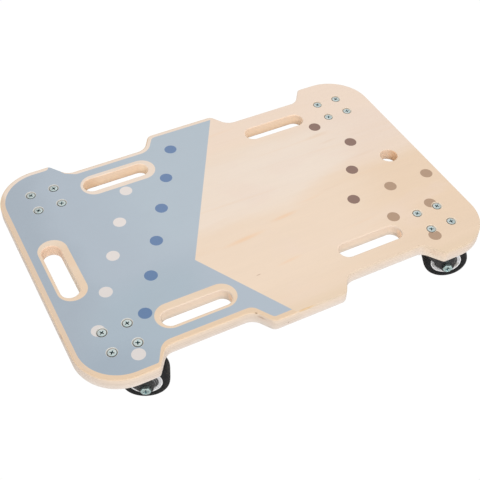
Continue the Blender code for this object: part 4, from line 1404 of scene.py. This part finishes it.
def leg_side():
    """Side outline of the fork in (trail, height), counter-clockwise."""
    pts = []
    cx, cz, r = TRAIL, AXLE_Z, 9.7
    a0, a1 = math.radians(-120), math.radians(8)
    for j in range(33):
        a = a0 + (a1 - a0) * j / 32
        pts.append((cx + r * math.cos(a), cz + r * math.sin(a)))
    tail = fillet_loop([(35.71, 31.35, 0.0), (33.4, 46.0, 60.0), (31.0, 55.5, 30.0), (26.6, 63.6, 30.0), (22.0, 69.8, 15.0),
                        (19.0, 72.5, 8.0), (15.0, 74.5, 5.0), (-12.5, 74.5, 5.0), (-17.0, 72.0, 4.0), (-18.5, 66.0, 5.0),
                        (-15.5, 60.5, 10.0), (6.8, 38.5, 60.0), (21.25, 21.60, 0.0)],
                       0.8, 3, 12, run=100.0)
    pts += [(p[0], p[1]) for p in tail[1:-1]]
    return pts


def prism(points, along, lo, hi):
    """Closed prism from a 2-D outline; along 'Y' takes (x, z) points, 'X' takes (y, z)."""
    bm = bmesh.new()
    if along == "Y":
        a = [bm.verts.new((x * MM, lo * MM, z * MM)) for x, z in points]
        c = [bm.verts.new((x * MM, hi * MM, z * MM)) for x, z in points]
    else:
        a = [bm.verts.new((lo * MM, y * MM, z * MM)) for y, z in points]
        c = [bm.verts.new((hi * MM, y * MM, z * MM)) for y, z in points]
    bm.faces.new(a)
    bm.faces.new(list(reversed(c)))
    for i in range(len(a)):
        j = (i + 1) % len(a)
        bm.faces.new((a[i], c[i], c[j], a[j]))
    bmesh.ops.recalc_face_normals(bm, faces=bm.faces)
    me = bpy.data.meshes.new("prism")
    bm.to_mesh(me)
    bm.free()
    return me


def solid(bm):
    bmesh.ops.recalc_face_normals(bm, faces=bm.faces)
    me = bpy.data.meshes.new("solid")
    bm.to_mesh(me)
    bm.free()
    return me


def carved(base, steps, bevel=0.0):
    """Applies booleans (operation, mesh) in turn, then a small bevel, and returns one mesh."""
    host = bpy.data.objects.new("blank", base)
    bpy.context.scene.collection.objects.link(host)
    helpers = []
    for op, me in steps:
        ob = bpy.data.objects.new("tool", me)
        bpy.context.scene.collection.objects.link(ob)
        helpers.append(ob)
        mod = host.modifiers.new("cut", "BOOLEAN")
        mod.operation = op
        mod.solver = "EXACT"
        mod.object = ob
    if bevel:
        mod = host.modifiers.new("soften", "BEVEL")
        mod.width = bevel * MM
        mod.segments = 3
        mod.limit_method = "ANGLE"
        mod.angle_limit = math.radians(38)
        mod.use_clamp_overlap = True
    bpy.context.view_layer.update()
    me = bpy.data.meshes.new_from_object(host.evaluated_get(bpy.context.evaluated_depsgraph_get()))
    for ob in [host] + helpers:
        bpy.data.objects.remove(ob, do_unlink=True)
    me.materials.clear()
    return me


def make_fork():
    """Pressed fork: a strip bent into a U, trimmed to its side outline, with a ball-race boss."""
    # the U's section as one closed loop: up the outside, over, down, then back along the inside
    u = fillet_loop([(23.0, -5.0, 0.0), (23.0, 74.5, 5.0), (-23.0, 74.5, 5.0), (-23.0, -5.0, 0.0), (-20.5, -5.0, 0.0),
                     (-20.5, 72.0, 2.5), (20.5, 72.0, 2.5), (20.5, -5.0, 0.0)], 0.6, 6, 12, run=500.0)
    strip = prism([(p[0], p[1]) for p in u], "X", -40.0, 60.0)
    side = prism(leg_side(), "Y", -30.0, 30.0)
    boss = solid(turned([(0.0, 73.2), (13.9, 73.2), (13.6, 74.6), (13.4, 75.4), (12.9, 75.9), (12.4, 76.0), (0.0, 76.0)], 72, closed=False))
    neck = solid(turned([(0.0, 78.0), (8.4, 78.0), (8.4, 69.0), (0.0, 69.0)], 72, closed=False))
    axle = solid(turned([(0.0, 40.0), (4.3, 40.0), (4.3, -40.0), (0.0, -40.0)], 48, axis="Y", closed=False))
    axle.transform(Matrix.Translation((TRAIL * MM, 0, AXLE_Z * MM)))
    me = carved(strip, [("INTERSECT", side), ("UNION", boss), ("DIFFERENCE", neck), ("DIFFERENCE", axle)], bevel=0.45)
    me.materials.append(M["fork"])
    me.shade_smooth()
    me.set_sharp_from_angle(angle=math.radians(40))
    return me


def make_tyre():
    """Flat-sided tread with rounded shoulders."""
    half = [(20.65, 14.0), (20.8, 14.35), (21.3, 14.65), (23.0, 14.95), (25.6, 15.1), (26.9, 14.9), (27.9, 14.3), (28.7, 13.3),
            (29.25, 12.0), (29.6, 10.6), (29.85, 8.6), (29.95, 6.0), (29.99, 3.0), (30.0, 0.25)]
    prof = half + [(r, -y) for r, y in reversed(half)]
    return from_bm(turned(prof, 128, "Y"), "tyre", [M["tyre"]], 50)


def make_core(band="band", ridge="ridge"):
    """Light-grey rim with a groove and a raised lip each side, and a dark, shallow dished face with two fine ridges."""
    c, h, g, d = 0, 1, 2, 3
    half = [(4.4, 20.0, h), (4.65, 20.2, h), (7.7, 20.2, h), (8.0, 19.9, h), (8.0, 17.9, h), (8.25, 17.35, h), (10.9, 15.95, h),
            (11.05, 16.25, g), (11.2, 16.4, g), (11.55, 16.25, g), (11.7, 15.7, h), (13.3, 14.75, h), (13.5, 15.05, g), (13.65, 15.1, g),
            (13.95, 14.95, g), (14.1, 14.3, h), (14.6, 14.0, h), (14.9, 13.2, h), (15.2, 12.9, h), (15.4, 13.2, d), (15.5, 13.6, d),
            (15.75, 13.95, d), (16.1, 14.0, d), (18.15, 14.0, d), (18.35, 13.8, d), (18.45, 13.65, d), (18.75, 13.65, d), (18.9, 13.75, c),
            (19.05, 14.05, c), (19.3, 14.2, c), (20.1, 14.2, c), (20.4, 14.1, c), (20.55, 13.8, c)]
    mirrored = []
    rev = list(reversed(half))
    for n, (r, y, m) in enumerate(rev):
        nxt = rev[n + 1][2] if n + 1 < len(rev) else h
        mirrored.append((r, -y, nxt))
    return from_bm(turned(half + mirrored, 128, "Y"), "wheel_core", [M["core"], M["hub"], M[ridge], M[band]], 42)


screw_mesh = make_screw()
lock_nut_mesh = make_lock_nut()
plate_mesh = make_plate()
fork_mesh = make_fork()
tyre_mesh = make_tyre()
core_mesh = make_core()
shaded_core_mesh = make_core("band_painted_shadow", "ridge_painted_shadow")
bolt_mesh = make_axle_bolt()
axle_nut_mesh = make_axle_nut()

for name, (cx, cy) in CASTORS.items():
    swivel = Matrix.Translation((cx * MM, cy * MM, 0)) @ Matrix.Rotation(math.radians(REST_DEG[name]), 4, "Z")
    axle = swivel @ Matrix.Translation((TRAIL * MM, 0, AXLE_Z * MM))
    add(f"{name}_top_plate", plate_mesh, "board", [f"{name}_castor_plate"], Matrix.Translation((cx * MM, cy * MM, 0)))
    k = 0
    for sx, sy in ((1, 1), (-1, 1), (-1, -1), (1, -1)):
        k += 1
        hx, hy = (cx + sx * PITCH) * MM, (cy + sy * PITCH) * MM
        spin = math.radians(17.0 * k + (11.0 if cx > 0 else 0.0))
        add(f"{name}_screw_{k}", screw_mesh, "board", [f"{name}_deck_screw_{k}"],
            Matrix.Translation((hx, hy, (TOP - 0.5) * MM)) @ Matrix.Rotation(spin, 4, "Z"))
        add(f"{name}_nut_{k}", lock_nut_mesh, "board", [f"{name}_lock_nut_{k}"],
            Matrix.Translation((hx, hy, 77.7 * MM)) @ Matrix.Rotation(math.radians(15.0 * k), 4, "Z"))
    add(f"{name}_pressed_fork", fork_mesh, f"{name}_swivel", [f"{name}_fork"], swivel)
    add(f"{name}_bolt", bolt_mesh, f"{name}_swivel", [f"{name}_axle_bolt"], axle)
    add(f"{name}_end_nut", axle_nut_mesh, f"{name}_swivel", [f"{name}_axle_nut"],
        axle @ Matrix.Translation((0, 23.3 * MM, 0)))
    add(f"{name}_tread", tyre_mesh, f"{name}_wheel", [f"{name}_tyre"], axle)
    add(f"{name}_rim", shaded_core_mesh if name == "front_right" else core_mesh, f"{name}_wheel", [f"{name}_wheel_core"], axle)

bpy.context.view_layer.update()
